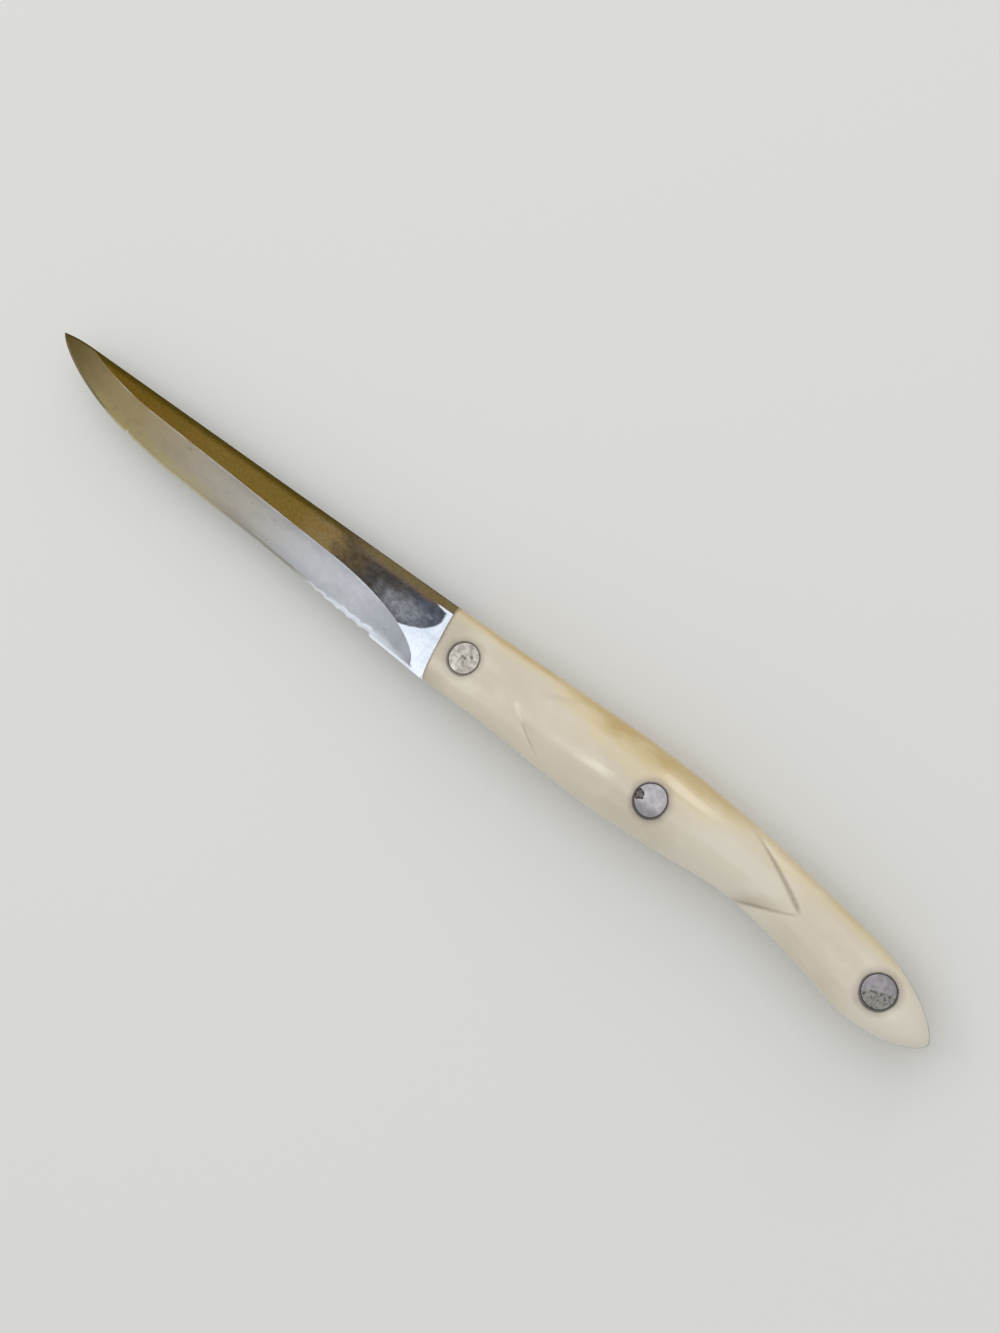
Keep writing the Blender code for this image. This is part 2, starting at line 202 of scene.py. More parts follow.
class Graph:
    """A node tree that is written as Python expressions."""

    def __init__(self, tree: bpy.types.NodeTree) -> None:
        """Takes a tree to write in."""
        self.tree = tree

    @staticmethod
    def pick(sockets: Iterable[bpy.types.NodeSocket], key: Key) -> bpy.types.NodeSocket:
        """Finds a socket in use.

        Args:
            sockets: A node's inputs or outputs.
            key: The socket's name, or its place among those in use.

        Returns:
            The socket.
        """
        used = [socket for socket in sockets if socket.enabled]
        if isinstance(key, int):
            return used[key]
        return next(socket for socket in used if socket.name == key)

    def feed(self, socket: bpy.types.NodeSocket, value: Any) -> None:
        """Links a term to a socket, or sets the socket's own value.

        Args:
            socket: The input to feed.
            value: A term, a number, a vector, a colour, a word or a data block.
        """
        if isinstance(value, Term):
            self.tree.links.new(value.socket, socket)
        elif socket.type == "RGBA":
            socket.default_value = (*value[:3], 1.0)
        else:
            socket.default_value = value

    def node(self, kind: str, sockets: Sockets = None, settings: Settings = None) -> bpy.types.Node:
        """Adds a node of any kind.

        Args:
            kind: The node's type.
            sockets: Values or terms for its inputs, by name or place.
            settings: Its own settings, which are set first.

        Returns:
            The node.
        """
        made = self.tree.nodes.new(kind)
        for name, value in (settings or {}).items():
            setattr(made, name, value)
        for key, value in (sockets or {}).items():
            self.feed(self.pick(made.inputs, key), value)
        return made

    def term(self, kind: str, sockets: Sockets = None, settings: Settings = None, output: Key = 0) -> Term:
        """Adds a node and takes one of its outputs.

        Args:
            kind: The node's type.
            sockets: Values or terms for its inputs.
            settings: The node's own settings.
            output: The output's name or place.

        Returns:
            The output as a term.
        """
        return Term(self, self.pick(self.node(kind, sockets, settings).outputs, output))

    def math(self, operation: str, *values: Operand) -> Term:
        """Result of a Math node on one or two numbers."""
        return self.term("ShaderNodeMath", dict(enumerate(values)), {"operation": operation})

    def vector(self, operation: str, *values: Any) -> Term:
        """Resulting vector of a Vector Math node."""
        return self.term("ShaderNodeVectorMath", dict(enumerate(values)), {"operation": operation})

    def parts(self, vector: Term) -> tuple[Term, ...]:
        """X, Y and Z of a vector."""
        return tuple(Term(self, part) for part in self.node("ShaderNodeSeparateXYZ", {0: vector}).outputs)

    def joined(self, x: Operand, y: Operand, z: Operand) -> Term:
        """Vector of three numbers."""
        return self.term("ShaderNodeCombineXYZ", {0: x, 1: y, 2: z})

    def blend(self, share: Operand, first: Any, second: Any, how: str = "MIX") -> Term:
        """Mixes two colours.

        Args:
            share: How much of the second there is, from zero to one.
            first: Colour or term.
            second: Colour or term.
            how: The mix's blend type.

        Returns:
            The mixed colour.
        """
        sockets = {"Factor": share, "A": first, "B": second}
        return self.term("ShaderNodeMix", sockets, {"data_type": "RGBA", "blend_type": how})

    def noise(self, place: Term, spread: Sequence[float], seed: float, detail: float = 3.0) -> Term:
        """Soft noise around a half.

        Args:
            place: Coordinates in millimetres.
            spread: Size of the noise's patches along X, Y and Z, in millimetres.
            seed: Shift that sets this noise apart from others.
            detail: How many finer layers it has.

        Returns:
            The noise, from zero to one.
        """
        scale = tuple(1.0 / size for size in spread)
        moved = self.vector("MULTIPLY_ADD", place, scale, (seed, seed * 1.7, seed * 0.3))
        return self.term("ShaderNodeTexNoise", {"Vector": moved, "Scale": 1.0, "Detail": detail})


class Surface(Graph):
    """A material with one Principled shader, which reads places on the knife in millimetres."""

    def __init__(self, name: str, zero: Vector) -> None:
        """Starts a material.

        Args:
            name: The material's name.
            zero: The knife frame's zero in the scene.
        """
        self.material = bpy.data.materials.new(name)
        self.material.use_nodes = True
        super().__init__(self.material.node_tree)
        self.shader = self.tree.nodes["Principled BSDF"]
        moved = self.vector("SUBTRACT", self.term("ShaderNodeTexCoord", output="Object"), tuple(zero))
        self.place = self.vector("MULTIPLY", moved, (PER_METRE, PER_METRE, PER_METRE))
        self.x, self.y, self.z = self.parts(self.place)

    def wear(self, **sockets: Any) -> None:
        """Feeds the shader's sockets, named with underscores for their spaces.

        Args:
            sockets: Values or terms by the sockets' names.
        """
        for name, value in sockets.items():
            title = name.replace("_", " ").title().replace("Ior", "IOR")
            self.feed(self.shader.inputs[title], value)

    def attribute(self, name: str, output: str = "Fac") -> Term:
        """Reads an attribute of the piece's own mesh."""
        return self.term("ShaderNodeAttribute", None, {"attribute_name": name}, output)

    def emboss(self, height: Term, depth: float) -> None:
        """Raises the surface by a bump.

        Args:
            height: Height from zero to one.
            depth: What one stands for, in metres.
        """
        sockets = {"Strength": 1.0, "Distance": depth, "Height": height}
        self.wear(normal=self.term("ShaderNodeBump", sockets))

    def layered(self, colour: Any, *layers: Layer) -> Any:
        """Lays colours over each other.

        Args:
            colour: The ground colour.
            layers: Each layer's share and colour, and how it is mixed where it doesn't just cover.

        Returns:
            The colour that shows.
        """
        for share, *over in layers:
            colour = self.blend(share, colour, *over)
        return colour

    def oval(self, centre: tuple[float, float], reach: tuple[float, float]) -> Term:
        """Distance from a place on the knife's side, which is one on an ellipse round it.

        Args:
            centre: The ellipse's middle, along the knife and up it, in millimetres.
            reach: Its half axes, in millimetres.

        Returns:
            The distance.
        """
        return span((self.x - centre[0]) / reach[0], (self.y - centre[1]) / reach[1])


class ShapeGraph(Graph):
    """A Geometry Nodes tree with named inputs."""

    def __init__(self, name: str) -> None:
        """Starts a tree that takes and gives a geometry.

        Args:
            name: The tree's name.
        """
        super().__init__(bpy.data.node_groups.new(name, "GeometryNodeTree"))
        self.labels: dict[str, str] = {}
        self.entry = self.node("NodeGroupInput")
        self.exit = self.node("NodeGroupOutput")
        self.open("Geometry", "NodeSocketGeometry", "OUTPUT")
        self.geometry = self.input("Geometry", "NodeSocketGeometry")

    def open(self, name: str, kind: str, way: str) -> str:
        """Adds a socket to the tree's interface and gives its identifier."""
        return self.tree.interface.new_socket(name=name, in_out=way, socket_type=kind).identifier

    def input(self, name: str, kind: str = "NodeSocketFloat") -> Term:
        """Adds a named input of a socket type and gives it as a term."""
        self.labels[name] = self.open(name, kind, "INPUT")
        return Term(self, self.pick(self.entry.outputs, name))

    def stored(self, name: str) -> Term:
        """Reads a named attribute of the mesh."""
        settings = {"data_type": "FLOAT"}
        return self.term("GeometryNodeInputNamedAttribute", {"Name": name}, settings, "Attribute")

    def end(self, geometry: Term, coats: Sequence[tuple[Optional[Term], Term]]) -> None:
        """Makes any instances real and sets the materials.

        Args:
            geometry: What the tree has made.
            coats: Where each material goes, with none for everywhere, and the material.
        """
        made = self.term("GeometryNodeRealizeInstances", {"Geometry": geometry})
        for where, material in coats:
            sockets = {"Geometry": made, "Material": material}
            if where is not None:
                sockets["Selection"] = where
            made = self.term("GeometryNodeSetMaterial", sockets)
        self.feed(self.exit.inputs[0], made)

    def attach(self, piece: Piece, values: Mapping[str, Any]) -> None:
        """Puts the tree on a piece as a modifier.

        Args:
            piece: The object to shape.
            values: The inputs' values by name.
        """
        modifier = piece.modifiers.new(self.tree.name, "NODES")
        modifier.node_group = self.tree
        for name, value in values.items():
            modifier[self.labels[name]] = value


def label(name: str) -> str:
    """Input's name for a size's field."""
    return name.replace("_", " ").capitalize()


def labelled(sizes: Any) -> dict[str, Any]:
    """A dataclass's values under the names of their inputs."""
    return {label(f.name): getattr(sizes, f.name) for f in fields(sizes)}


def new_piece(name: str, body: bmesh.types.BMesh) -> Piece:
    """Makes an object of a drawn body.

    Args:
        name: The object's name.
        body: Its mesh, which is freed.

    Returns:
        The object, linked to the scene.
    """
    mesh = bpy.data.meshes.new(name)
    body.to_mesh(mesh)
    body.free()
    piece = bpy.data.objects.new(name, mesh)
    bpy.context.scene.collection.objects.link(piece)
    return piece


def drop(piece: Piece) -> None:
    """Removes a helper object and its mesh.

    Args:
        piece: The helper.
    """
    mesh = piece.data
    bpy.data.objects.remove(piece)
    bpy.data.meshes.remove(mesh)


def clean(body: bmesh.types.BMesh) -> None:
    """Merges a body's doubles and turns its faces outwards.

    Args:
        body: The drawn body.
    """
    bmesh.ops.remove_doubles(body, verts=body.verts, dist=MERGE / 10)
    bmesh.ops.dissolve_degenerate(body, edges=body.edges, dist=MERGE / 10)
    bmesh.ops.recalc_face_normals(body, faces=body.faces)


def settle(piece: Piece, node: str, helpers: Sequence[Piece] = ()) -> None:
    """Turns a piece and its modifiers into a plain mesh that stays inside its CAD node's box.

    Args:
        piece: The piece that stands for the node.
        node: The node's name.
        helpers: Objects that its modifiers use, which are removed.
    """
    bpy.context.view_layer.update()
    graph = bpy.context.evaluated_depsgraph_get()
    rough = piece.data
    piece.data = bpy.data.meshes.new_from_object(piece.evaluated_get(graph), depsgraph=graph)
    piece.modifiers.clear()
    piece.data.name = piece.name
    bpy.data.meshes.remove(rough)
    for helper in helpers:
        drop(helper)
    body = bmesh.new()
    body.from_mesh(piece.data)
    clean(body)
    body.to_mesh(piece.data)
    body.free()
    low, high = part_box(node)
    for corner in piece.data.vertices:
        corner.co = [min(max(c, a), b) for c, a, b in zip(corner.co, low, high)]


def shade(piece: Piece, sharp_angle: float) -> None:
    """Shades a piece smooth, apart from edges sharper than an angle."""
    piece.data.shade_smooth()
    piece.data.set_sharp_from_angle(angle=sharp_angle)


def hand_over(piece: Piece, node: str) -> None:
    """Gives a finished piece to the frame.

    Args:
        piece: The finished piece.
        node: The CAD node that it stands for.
    """
    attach(piece, BODY)
    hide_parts(node)
    LOG.info("%s: %d faces", piece.name, len(piece.data.polygons))


@dataclass
class Wear:
    """Corroded patch, pits and dents on one rivet head, in head radii from its middle.

    A dent has two places and a size, and one of no size isn't there.
    """

    patch_x: float
    patch_y: float
    patch_size: float
    patch_wobble: float
    patch_pits: float
    free_pits: float
    seed: float
    first_dent: Dent = (0.0, 0.0, 0.0)
    second_dent: Dent = (0.0, 0.0, 0.0)
    third_dent: Dent = (0.0, 0.0, 0.0)

    def on(self, side: Side) -> "Wear":
        """Wear of the head on one side: the head on the right is worn less, and elsewhere.

        Args:
            side: The side.

        Returns:
            The wear.
        """
        if side is Side.LEFT:
            return self
        return Wear(
            patch_x=-0.4,
            patch_y=0.3,
            patch_size=0.1,
            patch_wobble=self.patch_wobble,
            patch_pits=self.patch_pits,
            free_pits=0.8,
            seed=self.seed + 5.0,
        )


@dataclass(frozen=True)
class Finish:
    """A finish of the knife, which becomes a material."""

    def material(self, name: str, handle: "Handle") -> Material:
        """Builds the material.

        Args:
            name: The material's name.
            handle: The handle, for the knife's place in the scene, the rivets and the slant of its front.

        Returns:
            The material.
        """
        s = Surface(name, handle.zero)
        self.lay(s, handle)
        return s.material

    def lay(self, s: Surface, handle: "Handle") -> None:
        """Lays the finish on a surface."""
        raise NotImplementedError

    @staticmethod
    def behind_front(s: Surface, handle: "Handle") -> Term:
        """Distance behind the slanted front of the scales, in millimetres."""
        return s.x + math.tan(handle.front_slant) * s.y


@dataclass(frozen=True)
class PearlResin(Finish):
    """Worn cream resin with pearly clouds, yellowed along the spine and grimy in its corners; the yellow is
    partly painted shade, the grime in the swell's creases carries painted shade and a painted shadow, and the
    rear of the swell and the butt are painted lighter as painted light.
    """

    cream: Colour = paint(211, 202, 181)
    bone: Colour = paint(203, 194, 174)
    pearl: Colour = paint(224, 217, 201)
    amber: Colour = paint(188, 159, 94)
    honey: Colour = paint(222, 203, 158)
    putty: Colour = paint(174, 163, 139)
    grime: Colour = paint(120, 102, 72)
    smudge: Colour = paint(140, 129, 117)
    roughness: float = 0.30
    gloss: float = 0.8
    gloss_roughness: float = 0.13
    relief: float = 0.00004

    def lay(self, s: Surface, handle: "Handle") -> None:
        """Lays the resin on a surface.

        Args:
            s: The surface.
            handle: The handle, for its rivets and the slant of its front.
        """
        from_spine, border, from_edge = s.parts(s.attribute("handle_place", "Vector"))
        clouds = s.noise(s.place, (22.0, 10.0, 10.0), 3.1, 4.0)
        veins = s.noise(s.place, (7.0, 3.4, 4.0), 7.7, 5.0)
        specks = s.noise(s.place, (0.9, 0.7, 0.7), 5.3, 4.0)
        front = s.x.band(9.0, 1.0)
        # Painted light: the rear of the swell and the butt are made paler where light falls on them.
        painted_light_rear = (s.x.within(60.0, 72.0, 86.0, 95.0) * 0.6).most(s.x.band(105.0, 119.0) * 0.8)
        flecks = specks.band(0.66, 0.74) * veins.band(0.45, 0.6)
        upper = (from_edge - from_spine).band(-0.6, 0.6)
        joint = (self.behind_front(s, handle) + veins.sway(0.8)).band(1.10, 0.25)
        joint = joint * (0.40 + 0.6 * specks) * (0.6 + 0.5 * s.y.band(-5.0, 3.0))
        dirt_and_shadow = self.creases(s, border, upper, specks).most(joint)
        colour = s.layered(
            self.bone,
            (clouds.band(0.36, 0.64), self.cream),
            (veins.band(0.52, 0.74) * 0.35, self.pearl),
            (front * 0.5, self.putty),
            (painted_light_rear, self.pearl),
            # Yellowed resin towards the spine, partly painted shade and painted warm reflection.
            *self.yellowing(s, from_spine, clouds.sway(0.8) + veins.sway(0.7)),
            (flecks * 0.3, self.pearl),
            # Grime at the front joint, and grime with painted shade in the swell's creases.
            (dirt_and_shadow.clamped() * 0.9, self.grime),
        )
        for rivet in handle.rivets:
            smudge, ring = self.surround(s, rivet, veins, specks)
            colour = s.layered(colour, (smudge * rivet.halo, self.smudge), (ring * 0.92, rivet.ring))
            dirt_and_shadow = dirt_and_shadow.most(ring)
        s.wear(base_color=colour, roughness=self.roughness + veins.sway(0.14) + dirt_and_shadow * 0.3)
        s.wear(specular_ior_level=0.5, coat_weight=self.gloss, coat_roughness=self.gloss_roughness)
        s.emboss(veins * 0.6 + specks * 0.4, self.relief)

    def yellowing(self, s: Surface, from_spine: Term, ragged: Term) -> tuple[Layer, Layer]:
        """Yellows the resin towards the spine, most in the middle of the handle; the yellow is partly painted
        shade and painted warm reflection on the spine's side.

        Args:
            s: The surface.
            from_spine: Distance from the spine's edge in millimetres.
            ragged: Noise around zero, which frays the yellow's limit.

        Returns:
            A broad pale layer and a deep one.
        """
        before_butt = s.x.band(122.0, 110.0)
        broad = s.x.within(22.0, 40.0, 60.0, 78.0)
        rear = s.x.within(58.0, 74.0, 90.0, 102.0)
        middle = s.x.within(27.0, 43.0, 52.0, 84.0)
        front = s.x.band(30.0, 22.0)
        pale = (from_spine / (2.8 + 5.2 * broad + 1.4 * rear) + ragged).band(1.25, 0.3) * before_butt
        deep = (from_spine / (2.6 + 5.1 * middle) + ragged).band(0.68, 0.0) * before_butt
        strength = 0.55 + 0.4 * middle.most(front * 0.8)
        return (pale * (0.6 + 0.2 * broad), self.honey), (deep * strength, self.amber)

    @staticmethod
    def creases(s: Surface, border: Term, upper: Term, specks: Term) -> Term:
        """Grime and painted shade along the border of the palm swell: a dark V at its rear, with a painted
        shadow on the swell's side of its lower arm, and faint lines at its front.

        Args:
            s: The surface.
            border: Signed distance from the swell's border in millimetres.
            upper: One on the spine's half of the handle, and zero on the other.
            specks: Fine noise.

        Returns:
            How dirty and how shaded each place is.
        """
        lower = 1.0 - upper
        off = abs(border) + specks.sway(0.3)
        thin = off.band(0.36, 0.04)
        soft = off.band(0.50, 0.04)
        wide = off.band(0.95, 0.05)
        growing = (off / (0.40 + 0.30 * s.x.band(79.0, 91.0))).band(1.3, 0.1)
        # Painted shadow on the swell's side of the V's lower arm.
        shadow = (border * 4.0).most(-border).band(3.0, 0.0) * s.x.band(93.0, 86.0) * 0.36
        rear_upper = growing * upper * s.x.within(73.0, 85.0, 92.4, 94.6) * 0.62
        rear_lower = (soft * 0.34 + shadow) * lower * s.x.within(78.0, 85.0, 92.6, 94.2)
        front_lower = thin * lower * s.x.within(23.5, 26.0, 29.0, 34.0) * 0.32
        front_upper = wide * upper * s.x.within(24.0, 28.0, 30.0, 35.0) * 0.10
        return rear_upper + rear_lower + front_lower + front_upper

    @staticmethod
    def surround(s: Surface, rivet: "RivetPlace", veins: Term, specks: Term) -> tuple[Term, Term]:
        """Dirt round a rivet.

        Args:
            s: The surface.
            rivet: The rivet.
            veins: Noise.
            specks: Fine noise.

        Returns:
            A smudge and the dark ring inside it.
        """
        off_x = s.x - rivet.x * PER_METRE
        off_y = s.y - rivet.y * PER_METRE
        reach = span(off_x, off_y)
        smudge = (reach + veins.sway(1.8) + specks.sway(0.4)).band(5.4, 3.5)
        ring = (reach + off_y * 0.03 + veins.sway(0.5) + specks.sway(0.2)).band(3.98, 3.58)
        return smudge, ring


@dataclass(frozen=True)
class PolishedFlat(Finish):
    """Polished steel, tarnished golden brown, with a dark stain before the bright heel. The golden brown is
    partly a painted warm reflection, the dark stain is partly a painted dark reflection, and the bright heel
    and a bright wedge by the spine are painted reflections.
    """

    gold: Colour = paint(110, 92, 42)
    ochre: Colour = paint(102, 80, 26)
    umber: Colour = paint(66, 54, 12)
    khaki: Colour = paint(122, 104, 68)
    sepia: Colour = paint(84, 74, 56)
    russet: Colour = paint(118, 86, 38)
    soot: Colour = paint(70, 66, 63)
    blued: Colour = paint(76, 81, 91)
    slate: Colour = paint(132, 136, 143)
    bronze: Colour = paint(100, 91, 68)
    plum: Colour = paint(98, 84, 74)
    bright: Colour = paint(209, 217, 228)
    haze: Colour = paint(190, 200, 213)
    dapple: Colour = (0.66, 0.65, 0.66)
    roughness: float = 0.24
    relief: float = 0.00001
    stain_centre: tuple[float, float] = (-21.0, 3.9)
    stain_reach: tuple[float, float] = (17.2, 7.8)
    cloud_centre: tuple[float, float] = (-12.3, 0.4)
    cloud_reach: tuple[float, float] = (7.6, 3.2)
    spine_height: float = 8.35
    spine_rise: float = 0.0641

    def lay(self, s: Surface, handle: "Handle") -> None:
        """Lays the polished steel on a surface.

        Args:
            s: The surface.
            handle: The handle, for the slant of its front.
        """
        from_spine = self.spine_height + self.spine_rise * s.x - s.y
        broad = s.noise(s.place, (8.0, 3.0, 3.0), 2.2, 4.0)
        mottle = s.noise(s.place, (2.4, 1.6, 1.6), 5.9, 5.0)
        fine = s.noise(s.place, (0.7, 0.5, 0.5), 3.3, 4.0)
        grain = s.noise(s.place, (6.0, 0.12, 0.12), 8.3, 3.0)
        near_tip = s.x.band(-68.0, -96.0)
        near_heel = (s.x + broad.sway(14.0)).band(-47.0, -39.0)
        dark_back = (from_spine + mottle.sway(0.8)).band(1.9, 0.5)
        strip = (from_spine + mottle.sway(1.0)).band(2.9, 2.0) * s.x.band(-34.0, -24.0)
        inner = (from_spine + fine.sway(1.4)).band(1.5, 2.3)
        streaks = s.layered(
            self.bronze,
            (grain.band(0.44, 0.64) * 0.6, self.gold),
            (broad.band(0.44, 0.62) * 0.5, self.russet),
            (inner, self.plum),
        )
        # Painted highlight: a bright wedge between the dark stain and the spine's strip near the heel.
        painted_highlight_wedge = ((from_spine - 2.0) / (0.16 * s.x + 1.30)).band(1.15, 0.80) * from_spine.band(1.85, 2.05)
        joint = (self.behind_front(s, handle) + fine.sway(0.3)).band(-0.75, -0.25)
        heel, stains = self.stains(s, broad, mottle)
        colour = s.layered(
            # Golden-brown tarnish, partly a painted warm reflection.
            self.gold,
            (near_tip, self.ochre),
            (near_heel, self.khaki),
            (broad.band(0.42, 0.64) * 0.4, self.russet),
            (dark_back * 0.85, self.umber),
            (from_spine.band(0.16, 0.04), self.bronze),
            *stains,
            (strip, streaks),
            (painted_highlight_wedge * s.x.band(-7.4, -6.0), self.bright),
            (joint * 0.7, self.bronze),
            (fine.band(0.62, 0.34) * (0.7 - 0.5 * heel), grey(0.72), DARKEN),
            (grain.band(0.58, 0.36) * (0.5 - 0.2 * heel), grey(0.80), DARKEN),
        )
        roughness = self.roughness + mottle.sway(0.20) + grain.sway(0.10)
        s.wear(base_color=colour, metallic=1.0, roughness=roughness)
        s.emboss(grain * 0.5 + mottle * 0.5, self.relief)

    def stains(self, s: Surface, broad: Term, mottle: Term) -> tuple[Term, list[Layer]]:
        """Dark stain, partly a painted dark reflection, and the bright heel behind its rounded end, a painted
        reflection.

        Args:
            s: The surface.
            broad: Broad noise.
            mottle: Finer noise.

        Returns:
            Where the bright heel is, and the layers.
        """
        start = s.x + mottle.sway(10.0) + broad.sway(8.0)
        # Dark stain with a paler cloud in it, partly a painted dark reflection.
        dark_stain_and_reflection = start.band(-38.0, -30.0)
        off_cloud = s.oval(self.cloud_centre, self.cloud_reach) + mottle.sway(1.3) + broad.sway(0.5)
        cloud = off_cloud.band(1.40, 0.20)
        dapple = s.noise(s.place, (1.7, 1.1, 1.1), 6.7, 2.0)
        off_stain = s.oval(self.stain_centre, self.stain_reach) + mottle.sway(0.06)
        heel = off_stain.band(0.985, 1.03) * s.x.band(-17.0, -14.0)
        # Painted reflection: the bright heel behind the dark patch's rounded end.
        painted_heel_reflection = s.blend(broad.band(0.40, 0.66) * 0.8, self.bright, self.haze)
        layers = [
            (dark_stain_and_reflection, self.sepia),
            (start.band(-29.0, -22.0), self.soot),
            (start.band(-15.0, -8.0), self.blued),
            (cloud * 0.75, self.slate),
            (dark_stain_and_reflection * dapple.band(0.62, 0.34) * 0.8, self.dapple, DARKEN),
            (cloud * dapple.band(0.48, 0.72) * 0.10, self.haze),
            (heel, painted_heel_reflection),
        ]
        return heel, layers


@dataclass(frozen=True)
class SatinBevel(Finish):
    """Satin ground steel with fine grinding lines, pale at the heel and tanned towards the tip, with a
    painted highlight along the ridge, a painted reflection at the heel's corner and painted shade along the
    bevel's edges in the middle of the blade.
    """

    tip: Colour = paint(94, 81, 46)
    tan: Colour = paint(138, 124, 92)
    warm: Colour = paint(146, 141, 131)
    pale: Colour = paint(160, 163, 168)
    heel: Colour = paint(144, 147, 153)
    olive: Colour = paint(148, 139, 88)
    silver: Colour = paint(204, 211, 220)
    corner: Colour = paint(188, 193, 200)
    fleck: Colour = paint(104, 100, 92)
    tang: Colour = paint(150, 147, 141)
    rusted: Colour = paint(112, 98, 72)
    roughness: float = 0.36
    relief: float = 0.00001

    def lay(self, s: Surface, handle: "Handle") -> None:
        """Lays the ground steel on a surface.

        Args:
            s: The surface.
            handle: The handle, for the slant of its front.
        """
        level = s.attribute("rise")
        broad = s.noise(s.place, (7.0, 3.0, 3.0), 1.9, 3.0)
        mottle = s.noise(s.place, (2.0, 1.4, 1.4), 4.4, 5.0)
        lines = s.noise(s.place, (0.16, 5.0, 5.0), 6.1, 4.0)
        along = s.x + mottle.sway(6.0)
        tinted = level.band(1.45, 1.02) * (s.x + broad.sway(16.0)).band(-56.0, -72.0)
        tinted = tinted * s.x.band(-114.0, -104.0)
        # Painted shade along the bevel's lower and upper edges in the middle of the blade.
        rims = (abs(level - 1.5) * 2.0).band(0.30, 1.0) * s.x.within(-76.0, -60.0, -28.0, -22.0)
        width = 0.10 + 0.22 * s.x.band(-17.0, -13.0)
        low = ((level - 1.0 + mottle.sway(0.16)) / width).band(1.0, 0.25)
        low = low * s.x.band(-31.0, -22.0) * (0.66 - 0.24 * s.x.band(-16.0, -13.5))
        # Painted highlight: a pale line along the ridge.
        crest = level.band(1.945, 1.985) * broad.band(0.35, 0.65) * s.x.band(-108.0, -100.0)
        between_scales = self.behind_front(s, handle).band(-0.5, 0.1)
        colour = s.layered(
            self.tip,
            (along.band(-124.0, -98.0), self.tan),
            (along.band(-100.0, -62.0), self.warm),
            (along.band(-66.0, -30.0), self.pale),
            (along.band(-25.0, -13.0), self.heel),
            (tinted * 0.4, self.olive),
            (rims * 0.75, grey(0.78), DARKEN),
            # Painted reflection: a bright corner at the heel, going on from the flat's painted bright heel.
            (s.x.band(-9.0, -3.5), self.corner),
            (low.most(crest * 0.3), self.silver),
            (between_scales, self.aged_tang(s, broad, mottle)),
            (broad.band(0.50, 0.30) * 0.32, grey(0.75), DARKEN),
            (mottle.band(0.36, 0.22) * 0.5, self.fleck),
            (lines.band(0.60, 0.38) * 0.5, grey(0.82), DARKEN),
        )
        roughness = self.roughness + lines.sway(0.16) + mottle.sway(0.12)
        s.wear(base_color=colour, metallic=1.0, roughness=roughness)
        s.emboss(lines, self.relief)

    def aged_tang(self, s: Surface, broad: Term, mottle: Term) -> Term:
        """Steel between the scales: duller than the bevel, and browned towards the blade and the spine.

        Args:
            s: The surface.
            broad: Broad noise.
            mottle: Finer noise.

        Returns:
            The colour.
        """
        brown = s.x.band(16.0, 0.0) * s.y.band(-4.0, 6.0)
        brown = brown.most(mottle.band(0.54, 0.70) * 0.5).most(broad.band(0.60, 0.74) * 0.5)
        return s.blend(brown, self.tang, self.rusted)


@dataclass(frozen=True)
class HonedEdge(Finish):
    """Bright honed steel of the cutting edge, duller towards the tip."""

    bright: Colour = paint(230, 236, 243)
    dim: Colour = paint(166, 164, 154)
    dull: Colour = paint(186, 177, 144)
    worn: Colour = paint(150, 141, 116)
    tip: Colour = paint(124, 114, 82)
    nick: Colour = paint(150, 142, 118)
    near_hollow: Colour = paint(186, 188, 191)
    far_hollow: Colour = paint(146, 134, 106)
    roughness: float = 0.40
    relief: float = 0.000008

    def lay(self, s: Surface, handle: "Handle") -> None:
        """Lays the honed steel on a surface.

        Args:
            s: The surface.
            handle: The handle, which this finish doesn't reach.
        """
        lines = s.noise(s.place, (0.10, 1.4, 1.4), 9.2, 3.0)
        patches = s.noise(s.place, (5.0, 2.0, 2.0), 2.9, 3.0)
        along = s.x + patches.sway(12.0)
        far = along.band(-29.0, -40.0)
        right_side = s.z.band(-0.02, -0.10)
        hollow = s.blend(s.x.band(-22.0, -96.0), self.near_hollow, self.far_hollow)
        colour = s.layered(
            self.bright,
            (far, self.dim),
            (along.band(-57.0, -68.0), self.dull),
            (s.attribute("rise").band(0.60, 0.95) * far, self.worn),
            (along.band(-96.0, -106.0), self.tip),
            (right_side, hollow),
            (lines.band(0.40, 0.22) * 0.5, self.nick),
        )
        s.wear(base_color=colour, metallic=1.0, roughness=self.roughness + lines.sway(0.3))
        s.emboss(lines, self.relief)


@dataclass(frozen=True)
class RivetMetal(Finish):
    """Nickel silver head, scuffed, with a rough corroded patch and dark pits."""

    tone: Colour
    scuff: Colour
    rough: Colour
    pit: Colour
    roughness: float
    relief: float = 0.00002

    def lay(self, s: Surface, handle: "Handle") -> None:
        """Lays the metal on a surface.

        Args:
            s: The surface.
            handle: The handle, which this finish doesn't reach.
        """
        worn, pits, rim = (s.attribute(word) for word in ("wear", "pits", "rim"))
        patches = s.noise(s.place, (1.3, 1.0, 1.0), 3.8, 5.0)
        scratches = s.noise(s.place, (0.10, 1.5, 1.5), 1.7, 3.0)
        grit = s.noise(s.place, (0.45, 0.40, 0.40), 4.4, 3.0)
        rough = s.blend(grit.band(0.46, 0.66) * 0.45, self.rough, self.pit)
        colour = s.layered(
            self.tone,
            (patches.band(0.36, 0.66), self.scuff),
            (scratches.band(0.60, 0.38) * 0.5, grey(0.84), DARKEN),
            (worn.band(0.05, 0.60), rough),
            (pits.band(0.10, 0.80).most(rim.band(0.40, 1.0) * 0.75), self.pit),
        )
        s.wear(base_color=colour, metallic=pits.band(0.9, 0.1) * 0.6 + 0.4)
        s.wear(roughness=self.roughness + patches.sway(0.25) + worn.most(pits) * 0.25)
        s.emboss(patches * 0.5 + scratches * 0.5, self.relief)


